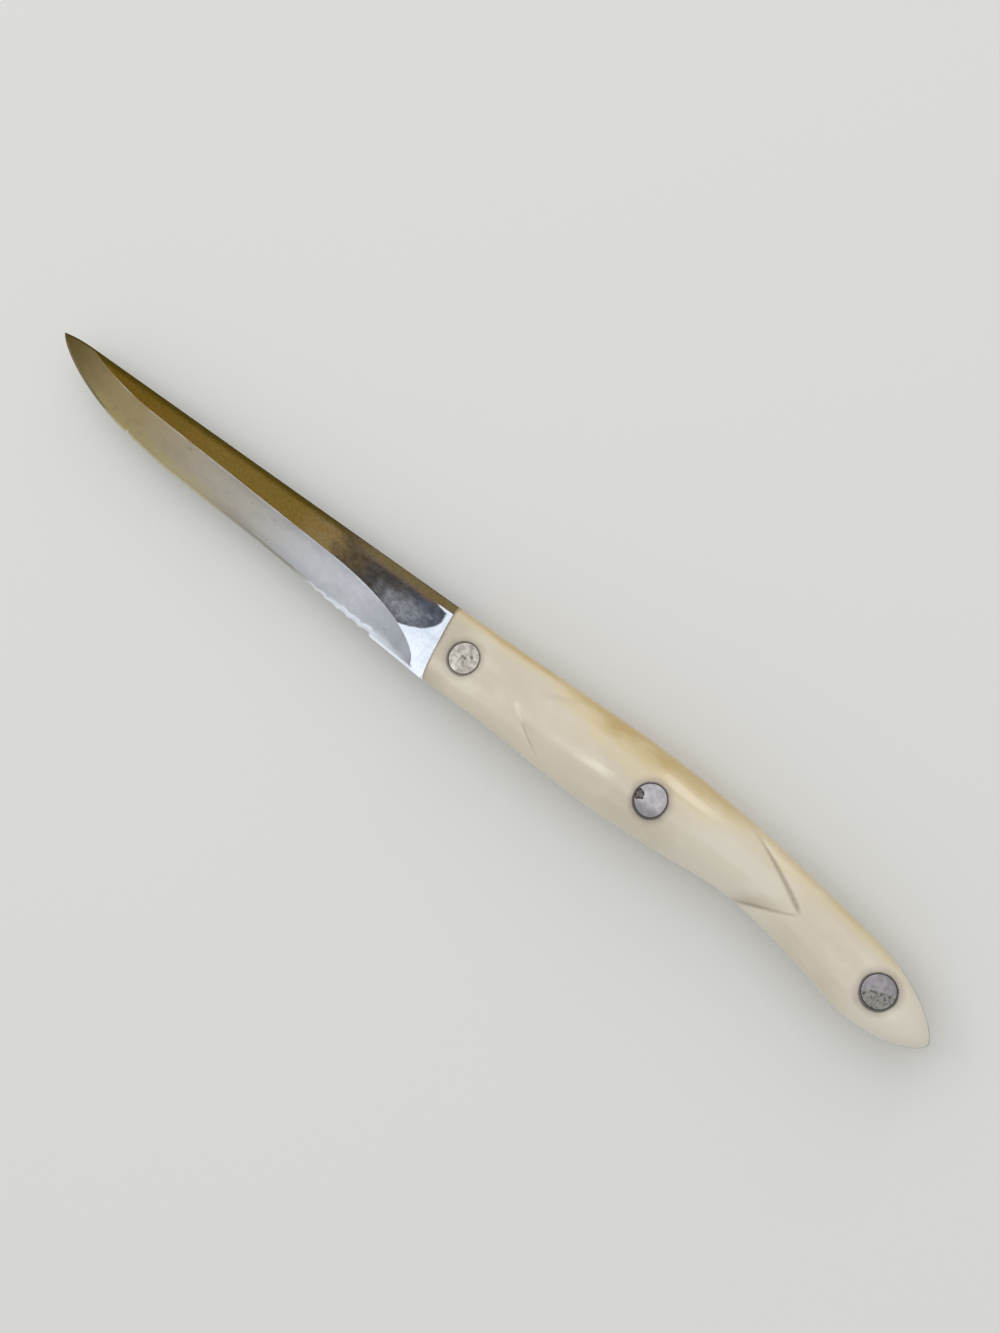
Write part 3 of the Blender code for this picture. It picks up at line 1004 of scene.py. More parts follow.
@dataclass
class RivetPlace:
    """Where a rivet stands in the knife's frame, its metal and wear, and how dirty the resin is round it."""

    name: str
    x: float
    y: float
    metal: RivetMetal
    wear: Wear
    ring: Colour
    halo: float


FRONT_RIVET = RivetPlace(
    name="front",
    x=0.0071,
    y=0.0006,
    metal=RivetMetal(
        tone=paint(189, 185, 176),
        scuff=paint(150, 145, 138),
        rough=paint(146, 141, 136),
        pit=paint(70, 61, 52),
        roughness=0.28,
    ),
    wear=Wear(
        patch_x=0.14,
        patch_y=-0.24,
        patch_size=0.12,
        patch_wobble=0.7,
        patch_pits=0.0,
        free_pits=0.0,
        seed=4.0,
        first_dent=(-0.16, 0.04, 0.08),
        second_dent=(0.06, 0.05, 0.10),
        third_dent=(0.35, 0.33, 0.12),
    ),
    ring=paint(92, 80, 66),
    halo=0.5,
)
MIDDLE_RIVET = RivetPlace(
    name="middle",
    x=0.0577,
    y=0.0026,
    metal=RivetMetal(
        tone=paint(178, 176, 179),
        scuff=paint(162, 159, 163),
        rough=paint(128, 122, 116),
        pit=paint(50, 44, 40),
        roughness=0.34,
    ),
    wear=Wear(
        patch_x=-0.80,
        patch_y=-0.12,
        patch_size=0.36,
        patch_wobble=0.4,
        patch_pits=0.8,
        free_pits=0.1,
        seed=8.0,
    ),
    ring=paint(66, 54, 52),
    halo=0.6,
)
REAR_RIVET = RivetPlace(
    name="rear",
    x=0.1144,
    y=0.0022,
    metal=RivetMetal(
        tone=paint(154, 149, 152),
        scuff=paint(136, 131, 134),
        rough=paint(156, 154, 150),
        pit=paint(84, 79, 74),
        roughness=0.34,
    ),
    wear=Wear(
        patch_x=1.353,
        patch_y=-2.676,
        patch_size=3.0,
        patch_wobble=0.25,
        patch_pits=0.6,
        free_pits=0.1,
        seed=2.0,
    ),
    ring=paint(66, 57, 52),
    halo=0.55,
)


@dataclass
class Handle:
    """Outline and sides of the handle, which the scales, the tang and the rivets share."""

    length: float = 0.1270
    top: tuple[float, ...] = (0.00835, 0.0095, 0.0108, 0.0120, 0.0124, 0.01195, 0.0107, 0.00925, 0.0080)
    bottom: tuple[float, ...] = (
        -0.0086, -0.0075, -0.0072, -0.0065, -0.0047, -0.0024, -0.0034, -0.00575, -0.0064
    )
    fullness: tuple[float, ...] = (3.4, 3.0, 2.5, 2.2, 2.1, 2.2, 2.4, 2.4, 2.2)
    nose_length: float = 0.0200
    nose_height: float = 0.0002
    nose_power: float = 0.64
    front_slant: float = math.radians(12.5)
    front_slant_length: float = 0.0250
    front_thickness: float = 0.0108
    butt_thickness: float = 0.0124
    swell_thickness: float = 0.0176
    butt_rounding: float = 0.0150
    front_edge_rounding: float = 0.0007
    inner_face: float = 0.00104
    outer_land: float = 0.0016
    swell_front: float = 0.0205
    swell_rear: float = 0.0940
    swell_power: float = 1.5
    spread_length: float = 0.0200
    spread_power: float = 0.85
    front_spread: float = 0.0110
    rear_upper_spread: float = 0.0070
    rear_lower_spread: float = 0.0105
    spread_blend: int = 6
    rivets: tuple[RivetPlace, ...] = (FRONT_RIVET, MIDDLE_RIVET, REAR_RIVET)
    zero: Vector = field(init=False)

    def __post_init__(self) -> None:
        """Finds the knife frame's zero in the scene by the front rivet's axis and the steel's middle."""
        low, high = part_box("front_rivet_sleeve")
        steel_low, steel_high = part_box("blade")
        front = self.rivets[0]
        middle = (low + high) / 2
        self.zero = Vector((middle.x - front.x, middle.y - front.y, (steel_low.z + steel_high.z) / 2))

    @staticmethod
    def curve(values: Sequence[float], share: float) -> float:
        """Smooth curve through evenly spaced values.

        Args:
            values: The values.
            share: How far along them, from zero to one.

        Returns:
            The value there.
        """
        last = len(values) - 1
        place = min(max(share, 0.0), 1.0) * last
        start = min(int(place), last - 1)
        part = place - start
        near, far = values[start], values[start + 1]
        before = values[start - 1] if start else 2 * near - far
        after = values[start + 2] if start + 2 <= last else 2 * far - near
        bend = 2 * before - 5 * near + 4 * far - after
        twist = 3 * near - 3 * far + after - before
        return near + 0.5 * part * (far - before + part * (bend + part * twist))

    def edges(self, x: float) -> tuple[float, float]:
        """Top and bottom of the outline, drawn in to a rounded nose at the butt.

        Args:
            x: Place along the handle.

        Returns:
            The two heights.
        """
        reach = min(1.0, max(0.0, 1 - (self.length - x) / self.nose_length))
        nose = (1 - reach**2) ** self.nose_power
        share = x / self.length
        top = self.nose_height + (self.curve(self.top, share) - self.nose_height) * nose
        bottom = self.nose_height + (self.curve(self.bottom, share) - self.nose_height) * nose
        return top, bottom

    def swell_reach(self, x: float, above: bool) -> float:
        """How far from the handle's middle line the palm swell reaches.

        Args:
            x: Place along the handle, between the swell's two points.
            above: Whether towards the spine.

        Returns:
            The reach.
        """
        rear_spread = self.rear_upper_spread if above else self.rear_lower_spread
        front = self.front_spread * ((x - self.swell_front) / self.spread_length) ** self.spread_power
        rear = rear_spread * ((self.swell_rear - x) / self.spread_length) ** self.spread_power
        return (front**-self.spread_blend + rear**-self.spread_blend) ** (-1 / self.spread_blend)

    def side_height(self, x: float, y: float) -> float:
        """Height of the side over the steel's middle plane, before its edges are rounded off.

        Args:
            x: Place along the handle.
            y: Place up it.

        Returns:
            The height.
        """
        taper = (self.butt_thickness - self.front_thickness) * x / self.length
        plain = (self.front_thickness + taper) / 2
        middle = (self.swell_front + self.swell_rear) / 2
        place = abs(x - middle) / ((self.swell_rear - self.swell_front) / 2)
        if place >= 1 - MERGE:
            return plain
        top, bottom = self.edges(x)
        off = y - (top + bottom) / 2
        crown = max(0.0, 1 - (off / self.swell_reach(x, off > 0)) ** 2)
        most = (self.swell_thickness - (self.front_thickness + self.butt_thickness) / 2) / 2
        return plain + most * math.cos(math.pi / 2 * place) ** self.swell_power * crown

    def side_point(self, station: float, across: float) -> Vector:
        """Point on the left side.

        Args:
            station: Place along the handle, before the front's slant.
            across: Place across it, from -1 at the bottom to 1 at the top.

        Returns:
            The point in the knife's frame.
        """
        top, bottom = self.edges(station)
        y = (top + bottom) / 2 + across * (top - bottom) / 2
        fade = max(0.0, 1 - station / self.front_slant_length) ** 2
        x = station - math.tan(self.front_slant) * y * fade
        if station < self.front_slant_length:
            top, bottom = self.edges(x)
            y = (top + bottom) / 2 + across * (top - bottom) / 2
        full = self.curve(self.fullness, station / self.length)
        rounding = (1 - abs(across) ** full) ** (1 / full)
        reach = min(1.0, max(0.0, 1 - (self.length - station) / self.butt_rounding))
        height = (self.side_height(station, y) - self.outer_land) * math.sqrt(1 - reach**2)
        near = max(0.0, 1 - station / self.front_edge_rounding)
        height -= self.front_edge_rounding * (1 - math.sqrt(1 - near**2))
        return Vector((x, y, self.outer_land + height * rounding))

    def stations(self, front_steps: int, body_steps: int, nose_steps: int) -> list[float]:
        """Places along the handle, closer together at its rounded ends.

        Args:
            front_steps: Steps round the front edge.
            body_steps: Steps along the body.
            nose_steps: Steps round the nose.

        Returns:
            The places, from the front to the butt.
        """
        quarter = math.pi / 2
        rounding = self.front_edge_rounding
        front = [rounding * (1 - math.cos(quarter * i / front_steps)) for i in range(front_steps)]
        end = self.length - self.nose_length / 2
        step = (end - rounding) / body_steps
        body = [rounding + step * i for i in range(body_steps)]
        nose = [end + (self.length - end) * math.sin(quarter * i / nose_steps) for i in range(nose_steps + 1)]
        return front + body + nose

    def border_distance(self, x: float, y: float) -> float:
        """Signed distance from the swell's border, below zero on the swell.

        Args:
            x: Place along the handle.
            y: Place up it.

        Returns:
            The distance.
        """
        top, bottom = self.edges(min(max(x, 0.0), self.length))
        off = y - (top + bottom) / 2
        hair = 1e-5
        if x <= self.swell_front + hair or x >= self.swell_rear - hair:
            end = self.swell_front if x < self.length / 2 else self.swell_rear
            return math.hypot(x - end, off)
        reach = self.swell_reach(x, off > 0)
        slope = (reach - self.swell_reach(x - hair / 2, off > 0)) / (hair / 2)
        return (abs(off) - reach) / math.sqrt(1 + slope**2)

    def drill(self, piece: Piece, profile: Sequence[tuple[float, float]], sides: int) -> list[Piece]:
        """Cuts a hole for each rivet into a piece.

        Args:
            piece: The piece, which gets a Boolean for each hole.
            profile: Half outline of the drill as radius and height, from its axis back to its axis.
            sides: How many sides the drill has.

        Returns:
            The drills, which are needed until the piece is settled.
        """
        drills = []
        for rivet in self.rivets:
            centre = self.zero + Vector((rivet.x, rivet.y, 0.0))
            body = bmesh.new()
            corners = [body.verts.new((centre.x + r, centre.y, centre.z + h)) for r, h in profile]
            edges = [body.edges.new(pair) for pair in zip(corners, corners[1:])]
            bmesh.ops.spin(
                body, geom=corners + edges, axis=(0, 0, 1), cent=centre, angle=math.tau, steps=sides
            )
            bmesh.ops.remove_doubles(body, verts=body.verts, dist=MERGE)
            bmesh.ops.recalc_face_normals(body, faces=body.faces)
            drill = new_piece(f"{rivet.name}_drill", body)
            drill.hide_render = True
            modifier = piece.modifiers.new(drill.name, "BOOLEAN")
            modifier.object = drill
            modifier.operation = "DIFFERENCE"
            modifier.solver = "EXACT"
            drills.append(drill)
        return drills


@dataclass
class Scale:
    """One resin scale of the handle, with a stepped hole for each rivet."""

    side: Side
    handle: Handle
    front_steps: int = 8
    body_steps: int = 270
    nose_steps: int = 40
    points_across: int = 76
    hole_radius: float = 0.0027
    head_hole_radius: float = 0.00343
    seat: float = 0.0031
    hole_sides: int = 96
    sharp_angle: float = math.radians(32)

    @property
    def name(self) -> str:
        """Name of the scale's CAD node."""
        return "left_scale" if self.side is Side.LEFT else "right_scale"

    def half(self, name: str, inner: float) -> Piece:
        """Half of the handle's outer shape.

        Args:
            name: The object's name.
            inner: Height of its flat inner face over the steel's middle plane.

        Returns:
            The closed half.
        """
        body = bmesh.new()
        turn = math.pi / 2
        count = self.points_across
        across = [math.sin(turn * (2 * i / count - 1)) for i in range(count + 1)]
        rows = []
        for station in self.handle.stations(self.front_steps, self.body_steps, self.nose_steps):
            outside = [self.handle.side_point(station, place) for place in across]
            ring = [Vector((outside[0].x, outside[0].y, inner)), *outside]
            ring.append(Vector((outside[-1].x, outside[-1].y, inner)))
            flip = self.side.value
            rows.append([body.verts.new(self.handle.zero + Vector((p.x, p.y, flip * p.z))) for p in ring])
        for row, following in zip(rows, rows[1:]):
            for i, corner in enumerate(row):
                body.faces.new((row[i - 1], corner, following[i], following[i - 1]))
        body.faces.new(rows[0])
        clean(body)
        return new_piece(name, body)

    def build(self) -> Piece:
        """Builds the drilled scale, with the places that its finish reads.

        Returns:
            The scale.
        """
        piece = self.half(f"{self.name}_piece", self.handle.inner_face)
        side = self.side.value
        profile = (
            (0.0, side * CLEAR),
            (self.head_hole_radius, side * CLEAR),
            (self.head_hole_radius, side * self.seat),
            (self.hole_radius, side * self.seat),
            (self.hole_radius, -side * CLEAR),
            (0.0, -side * CLEAR),
        )
        settle(piece, self.name, self.handle.drill(piece, profile, self.hole_sides))
        self.mark(piece)
        return piece

    def mark(self, piece: Piece) -> None:
        """Stores millimetres from the spine, from the swell's border and from the lower edge.

        Args:
            piece: The drilled scale.
        """
        handle = self.handle
        places = piece.data.attributes.new("handle_place", "FLOAT_VECTOR", "POINT")
        values: list[float] = []
        for corner in piece.data.vertices:
            x, y = corner.co.x - handle.zero.x, corner.co.y - handle.zero.y
            top, bottom = handle.edges(min(max(x, 0.0), handle.length))
            border = handle.border_distance(x, y)
            values += [(top - y) * PER_METRE, border * PER_METRE, (y - bottom) * PER_METRE]
        places.data.foreach_set("vector", values)

    def dress(self, piece: Piece, finish: Material) -> None:
        """Gives the scale its finish and hands it over.

        Args:
            piece: The drilled scale.
            finish: The resin.
        """
        piece.data.materials.clear()
        piece.data.materials.append(finish)
        shade(piece, self.sharp_angle)
        hand_over(piece, self.name)


@dataclass
class Blade:
    """Blade and full tang in one piece of steel, ground from a flat blank by a Geometry Nodes tree.

    Each size is an input of the tree. The values in capitals say how the blank is drawn, drilled and shaded,
    and which corners count as ground.
    """

    BELLY_STEPS: ClassVar[int] = 110
    BELLY_STEP_POWER: ClassVar[float] = 1.6
    SCALLOP_STEPS: ClassVar[int] = 20
    PLUNGE_STEPS: ClassVar[int] = 46
    SERRATION_STEP: ClassVar[float] = 0.0002
    PLUNGE_STEP: ClassVar[float] = 0.0004
    TANG_STEPS: ClassVar[tuple[int, int, int]] = (6, 170, 24)
    HOLE_RADIUS: ClassVar[float] = 0.0027
    HOLE_SIDES: ClassVar[int] = 64
    SHARP_ANGLE: ClassVar[float] = math.radians(25)
    PARTLY_GROUND: ClassVar[float] = 0.5
    FULLY_GROUND: ClassVar[float] = 0.99
    UNDER_SCALES: ClassVar[float] = 0.0005

    blade_length: float = 0.1240
    half_stock: float = 0.0010
    spine_at_handle: float = 0.00835
    spine_at_tip: float = 0.00040
    spine_chamfer: float = 0.00020
    tip_drop: float = 0.00080
    tip_drop_length: float = 0.0090
    edge_at_handle: float = -0.0086
    edge_at_belly: float = -0.0098
    belly_from_handle: float = 0.0800
    belly_start_power: float = 2.2
    belly_end_power: float = 0.74
    edge_bevel: float = 0.00060
    edge_half_thickness: float = 0.00016
    most_bevel_share: float = 0.25
    most_chamfer_share: float = 0.12
    least_grind: float = 0.0003
    ridge_at_handle: float = 0.0003
    ridge_fall: float = 0.0200
    ridge_sweep_from_handle: float = 0.0910
    ridge_sweep: float = 5.2
    plunge_from_handle: float = 0.0030
    plunge_length: float = 0.0305
    scallops: float = 24.0
    scallop_pitch: float = 0.00330
    scallop_depth: float = 0.00042
    scallop_rise: float = 0.0026
    scallop_hollow: float = 0.00010
    serration_from_handle: float = 0.0152
    serration_relief: float = 0.00022
    worn_from_handle: float = 0.0300
    worn_fade: float = 0.0080
    worn_share: float = 0.80
    least_worn: float = 0.30
    keen_from_handle: float = 0.0640
    keen_length: float = 0.0160
    keen_share: float = 0.55
    last_bite: float = 0.40
    whetted_from_handle: float = 0.0490
    whetted_half_length: float = 0.0230
    whetted_depth: float = 0.00048
    notch_width: float = 0.0011
    notch_depth: float = 0.00040

    def stations(self) -> list[float]:
        """Places along the ground blade, from just behind the tip to the end of the plunge at the heel.

        Returns:
            The places, in order.
        """
        belly_length = self.blade_length - self.belly_from_handle
        shares = [(i / self.BELLY_STEPS) ** self.BELLY_STEP_POWER for i in range(1, self.BELLY_STEPS)]
        belly = [-self.blade_length + belly_length * share for share in shares]
        step = self.scallop_pitch / self.SCALLOP_STEPS
        count = round(self.scallops) * self.SCALLOP_STEPS
        teeth = [-self.serration_from_handle - step * i for i in range(count + 1)]
        turn = [math.pi / 2 * i / self.PLUNGE_STEPS for i in range(self.PLUNGE_STEPS)]
        plunge = [-self.plunge_from_handle - self.plunge_length * (1 - math.sin(angle)) for angle in turn]
        ends = [teeth[0] + self.SERRATION_STEP, teeth[-1] - self.SERRATION_STEP, -self.plunge_from_handle]
        free = [x for x in belly + plunge if x > ends[0] + step / 2 or x < ends[1] - step / 2]
        return sorted(free + teeth + ends)

    def blank(self, handle: Handle) -> Piece:
        """Flat stock cut to length, with the tang in its final shape.

        Each corner holds how far up the side it is, from 0 at the edge over 1 at the edge bevel's top, 2 at
        the ridge and 3 at the spine's chamfer to 4 on the back. It also holds which side it is on, and
        whether it is ground.

        Args:
            handle: The handle, whose outline the tang follows.

        Returns:
            The blank.
        """
        up = (0.0, 0.5, 1.0, 2.0, 3.0, 4.0)
        down = (4.0, 3.0, 2.0, 1.0, 5 / 6, 4 / 6, 3 / 6, 2 / 6, 1 / 6, 0.0)
        corners = [(rise, Side.LEFT.value) for rise in up] + [(rise, Side.RIGHT.value) for rise in down]
        shares = {0.0: 0.0, 1.0: 0.035, 2.0: 0.054, 3.0: 0.988, 4.0: 1.0}
        heel = -self.plunge_from_handle + self.PLUNGE_STEP
        heel_share = -heel / self.blade_length
        heel_top = self.spine_at_handle + (self.spine_at_tip - self.spine_at_handle) * heel_share
        heel_low = self.edge_at_handle
        heel_low += (self.edge_at_belly - self.edge_at_handle) * -heel / self.belly_from_handle
        rows = [(x, self.spine_at_handle, self.edge_at_handle, 1.0) for x in self.stations()]
        rows.append((heel, heel_top, heel_low, 0.0))
        rows += [(x, *handle.edges(x), 0.0) for x in handle.stations(*self.TANG_STEPS)]
        body = bmesh.new()
        layers = [body.verts.layers.float.new(name) for name in ("rise", "side", "ground")]
        tip = body.verts.new(handle.zero + Vector((-self.blade_length, 0.0, 0.0)))
        tip[layers[2]] = 1.0
        grid = [[tip] * len(corners)]
        for x, top, bottom, ground in rows:
            row = []
            for rise, side in corners:
                y = bottom + (top - bottom) * shares.get(rise, rise * shares[1.0])
                corner = body.verts.new(handle.zero + Vector((x, y, side * self.half_stock)))
                for layer, value in zip(layers, (rise, side, ground)):
                    corner[layer] = value
                row.append(corner)
            grid.append(row)
        for row, following in zip(grid, grid[1:]):
            for i in range(len(corners)):
                ring = [row[i - 1], row[i], following[i], following[i - 1]]
                body.faces.new(dict.fromkeys(ring))
        clean(body)
        return new_piece("blade_piece", body)

    def grinding(self, zero: Vector) -> ShapeGraph:
        """Tree that grinds the bevels, the spine's chamfer and the scallops into the blank.

        Args:
            zero: The knife frame's zero in the scene.

        Returns:
            The tree, with an input for each size and for each finish.
        """
        g = ShapeGraph("blade_grinding")
        size = SimpleNamespace(**{f.name: g.input(label(f.name)) for f in fields(self)})
        rise, side, ground = (g.stored(name) for name in ("rise", "side", "ground"))
        x = g.parts(g.vector("SUBTRACT", g.term("GeometryNodeInputPosition"), tuple(zero)))[0]
        back = self.back_line(size, x)
        plain = self.edge_line(size, x)
        edge, hollow = self.serrated(size, x, plain)
        height = back - edge
        bevel = size.edge_bevel.least(height * size.most_bevel_share)
        chamfer = size.spine_chamfer.least(height * size.most_chamfer_share)
        bevel_top = edge + bevel
        ridge = self.ridge_line(size, x, plain).most(bevel_top + size.least_grind)
        slope = (size.half_stock - size.edge_half_thickness) / (ridge - plain - bevel)
        shoulder = ridge.least(back - 2.0 * chamfer)
        scooped = hollow * (-side).most(0.0)
        foot = bevel_top + size.scallop_rise.least((shoulder - bevel_top) * 0.5) * scooped
        lift = rise.clamped()
        on_bevel, on_flat, on_back = ((rise - start).clamped() for start in (1.0, 2.0, 3.0))
        y = edge + (foot - edge) * lift + (shoulder - foot) * on_bevel
        y = y + (back - chamfer - shoulder) * on_flat + chamfer * on_back
        half = size.edge_half_thickness * bevel / size.edge_bevel + slope * (y.most(foot) - plain - bevel)
        half = half.least(size.half_stock) * lift - chamfer * 0.5 * on_back
        half = half - size.scallop_hollow * scooped * 4.0 * lift * (1.0 - lift)
        moved = g.vector("ADD", g.joined(x, y, half * side), tuple(zero))
        on_blade = ground.above(self.PARTLY_GROUND)
        sockets = {"Geometry": g.geometry, "Selection": on_blade, "Position": moved}
        shaped = g.term("GeometryNodeSetPosition", sockets)
        shaped = g.term("GeometryNodeMergeByDistance", {"Geometry": shaped, "Distance": MERGE})
        tang = x.above(self.UNDER_SCALES)
        satin = (on_blade * rise.above(1.0) * (2.0 - rise).above(0.0)).most(tang)
        honed = ground.above(self.FULLY_GROUND) * (1.0 - rise).above(0.0)
        places = {"Flat finish": None, "Bevel finish": satin, "Edge finish": honed}
        g.end(shaped, [(where, g.input(name, "NodeSocketMaterial")) for name, where in places.items()])
        return g

    @staticmethod
    def back_line(size: SimpleNamespace, x: Term) -> Term:
        """Height of the back: straight, and dropping a little just before the tip.

        Args:
            size: The tree's inputs.
            x: Place along the knife.

        Returns:
            The height.
        """
        fall = size.spine_at_tip - size.spine_at_handle
        straight = size.spine_at_handle - fall * x / size.blade_length
        drop_share = (1.0 - (size.blade_length + x) / size.tip_drop_length).most(0.0)
        return straight - size.tip_drop * drop_share * drop_share

    @staticmethod
    def edge_line(size: SimpleNamespace, x: Term) -> Term:
        """Height of the edge before the scallops are ground: nearly straight, then the belly's sweep.

        Args:
            size: The tree's inputs.
            x: Place along the knife.

        Returns:
            The height.
        """
        share = (-x / size.belly_from_handle).least(1.0)
        straight = size.edge_at_handle + (size.edge_at_belly - size.edge_at_handle) * share
        belly = size.blade_length - size.belly_from_handle
        sweep = ((-x - size.belly_from_handle) / belly).clamped()
        left_over = (1.0 - sweep**size.belly_start_power).most(0.0)
        tip = size.spine_at_tip - size.tip_drop
        return straight + (tip - size.edge_at_belly) * (1.0 - left_over**size.belly_end_power)

    @staticmethod
    def serrated(size: SimpleNamespace, x: Term, plain: Term) -> tuple[Term, Term]:
        """Edge with its scallops, which are worn away in the middle, and a notch at their forward end.

        Args:
            size: The tree's inputs.
            x: Place along the knife.
            plain: Height of the plain edge.

        Returns:
            The edge's height, and how far each place is inside a scallop, from zero to one.
        """
        hair = 1e-4
        scallop = (-x - size.serration_from_handle) / size.scallop_pitch
        inside = scallop.above(-hair) * (size.scallops + hair).above(scallop)
        last = (1.0 - scallop).above(0.0) * size.last_bite
        peak = 2.0 * scallop.fraction() ** (1.0 - last) - 1.0
        past = (-x - size.worn_from_handle) / size.worn_fade
        into = (-x - size.keen_from_handle) / size.worn_fade
        keen = into.band(0.0, 1.0) * (size.keen_length / size.worn_fade - into).band(0.0, 1.0)
        worn = past.band(0.0, 1.0) * size.worn_share * (1.0 - keen * size.keen_share)
        hollow = (1.0 - peak * peak) * inside
        arch = hollow * (1.0 - worn.most(size.least_worn)) * (1.0 + last)
        off = (size.scallops - scallop) * size.scallop_pitch / size.notch_width
        notch = (1.0 - (2.0 * off - 1.0) ** 2.0).most(0.0)
        along = (x + size.whetted_from_handle) / size.whetted_half_length
        whetted = (1.0 - along * along).most(0.0) ** 1.5
        edge = plain + size.serration_relief * inside + size.whetted_depth * whetted
        return edge + size.scallop_depth * arch + size.notch_depth * notch, hollow

    @staticmethod
    def ridge_line(size: SimpleNamespace, x: Term, plain: Term) -> Term:
        """Height of the line where bevel and flat meet: it sweeps up at the tip and plunges at the heel.

        Args:
            size: The tree's inputs.
            x: Place along the knife.
            plain: Height of the plain edge.

        Returns:
            The height.
        """
        sweep = (-x - size.ridge_sweep_from_handle).most(0.0)
        height = size.ridge_at_handle + size.ridge_fall * x + size.ridge_sweep * sweep * sweep
        plunge = (1.0 + (x + size.plunge_from_handle) / size.plunge_length).clamped()
        return height - (height - plain) * (1.0 - (1.0 - plunge * plunge).root())

    def build(self, handle: Handle, finishes: Mapping[str, Material]) -> Piece:
        """Drills and grinds the blank.

        Args:
            handle: The handle, for the tang's outline and the rivets' places.
            finishes: Materials for the tree's finish inputs.

        Returns:
            The steel.
        """
        piece = self.blank(handle)
        hole = self.HOLE_RADIUS
        profile = ((0.0, CLEAR), (hole, CLEAR), (hole, -CLEAR), (0.0, -CLEAR))
        drills = handle.drill(piece, profile, self.HOLE_SIDES)
        self.grinding(handle.zero).attach(piece, {**labelled(self), **finishes})
        settle(piece, "blade", drills)
        return piece

    def dress(self, piece: Piece) -> None:
        """Keeps the ground lines crisp and hands the steel over.

        Args:
            piece: The ground steel.
        """
        shade(piece, self.SHARP_ANGLE)
        mesh = piece.data
        rise = [item.value for item in mesh.attributes["rise"].data]
        ground = [item.value for item in mesh.attributes["ground"].data]
        for edge in mesh.edges:
            first, second = edge.vertices
            level = rise[first]
            if ground[first] and ground[second] and level == rise[second] and level >= 1 and level % 1 == 0:
                edge.use_edge_sharp = True
        for name in ("side", "ground"):
            mesh.attributes.remove(mesh.attributes[name])
        hand_over(piece, "blade")


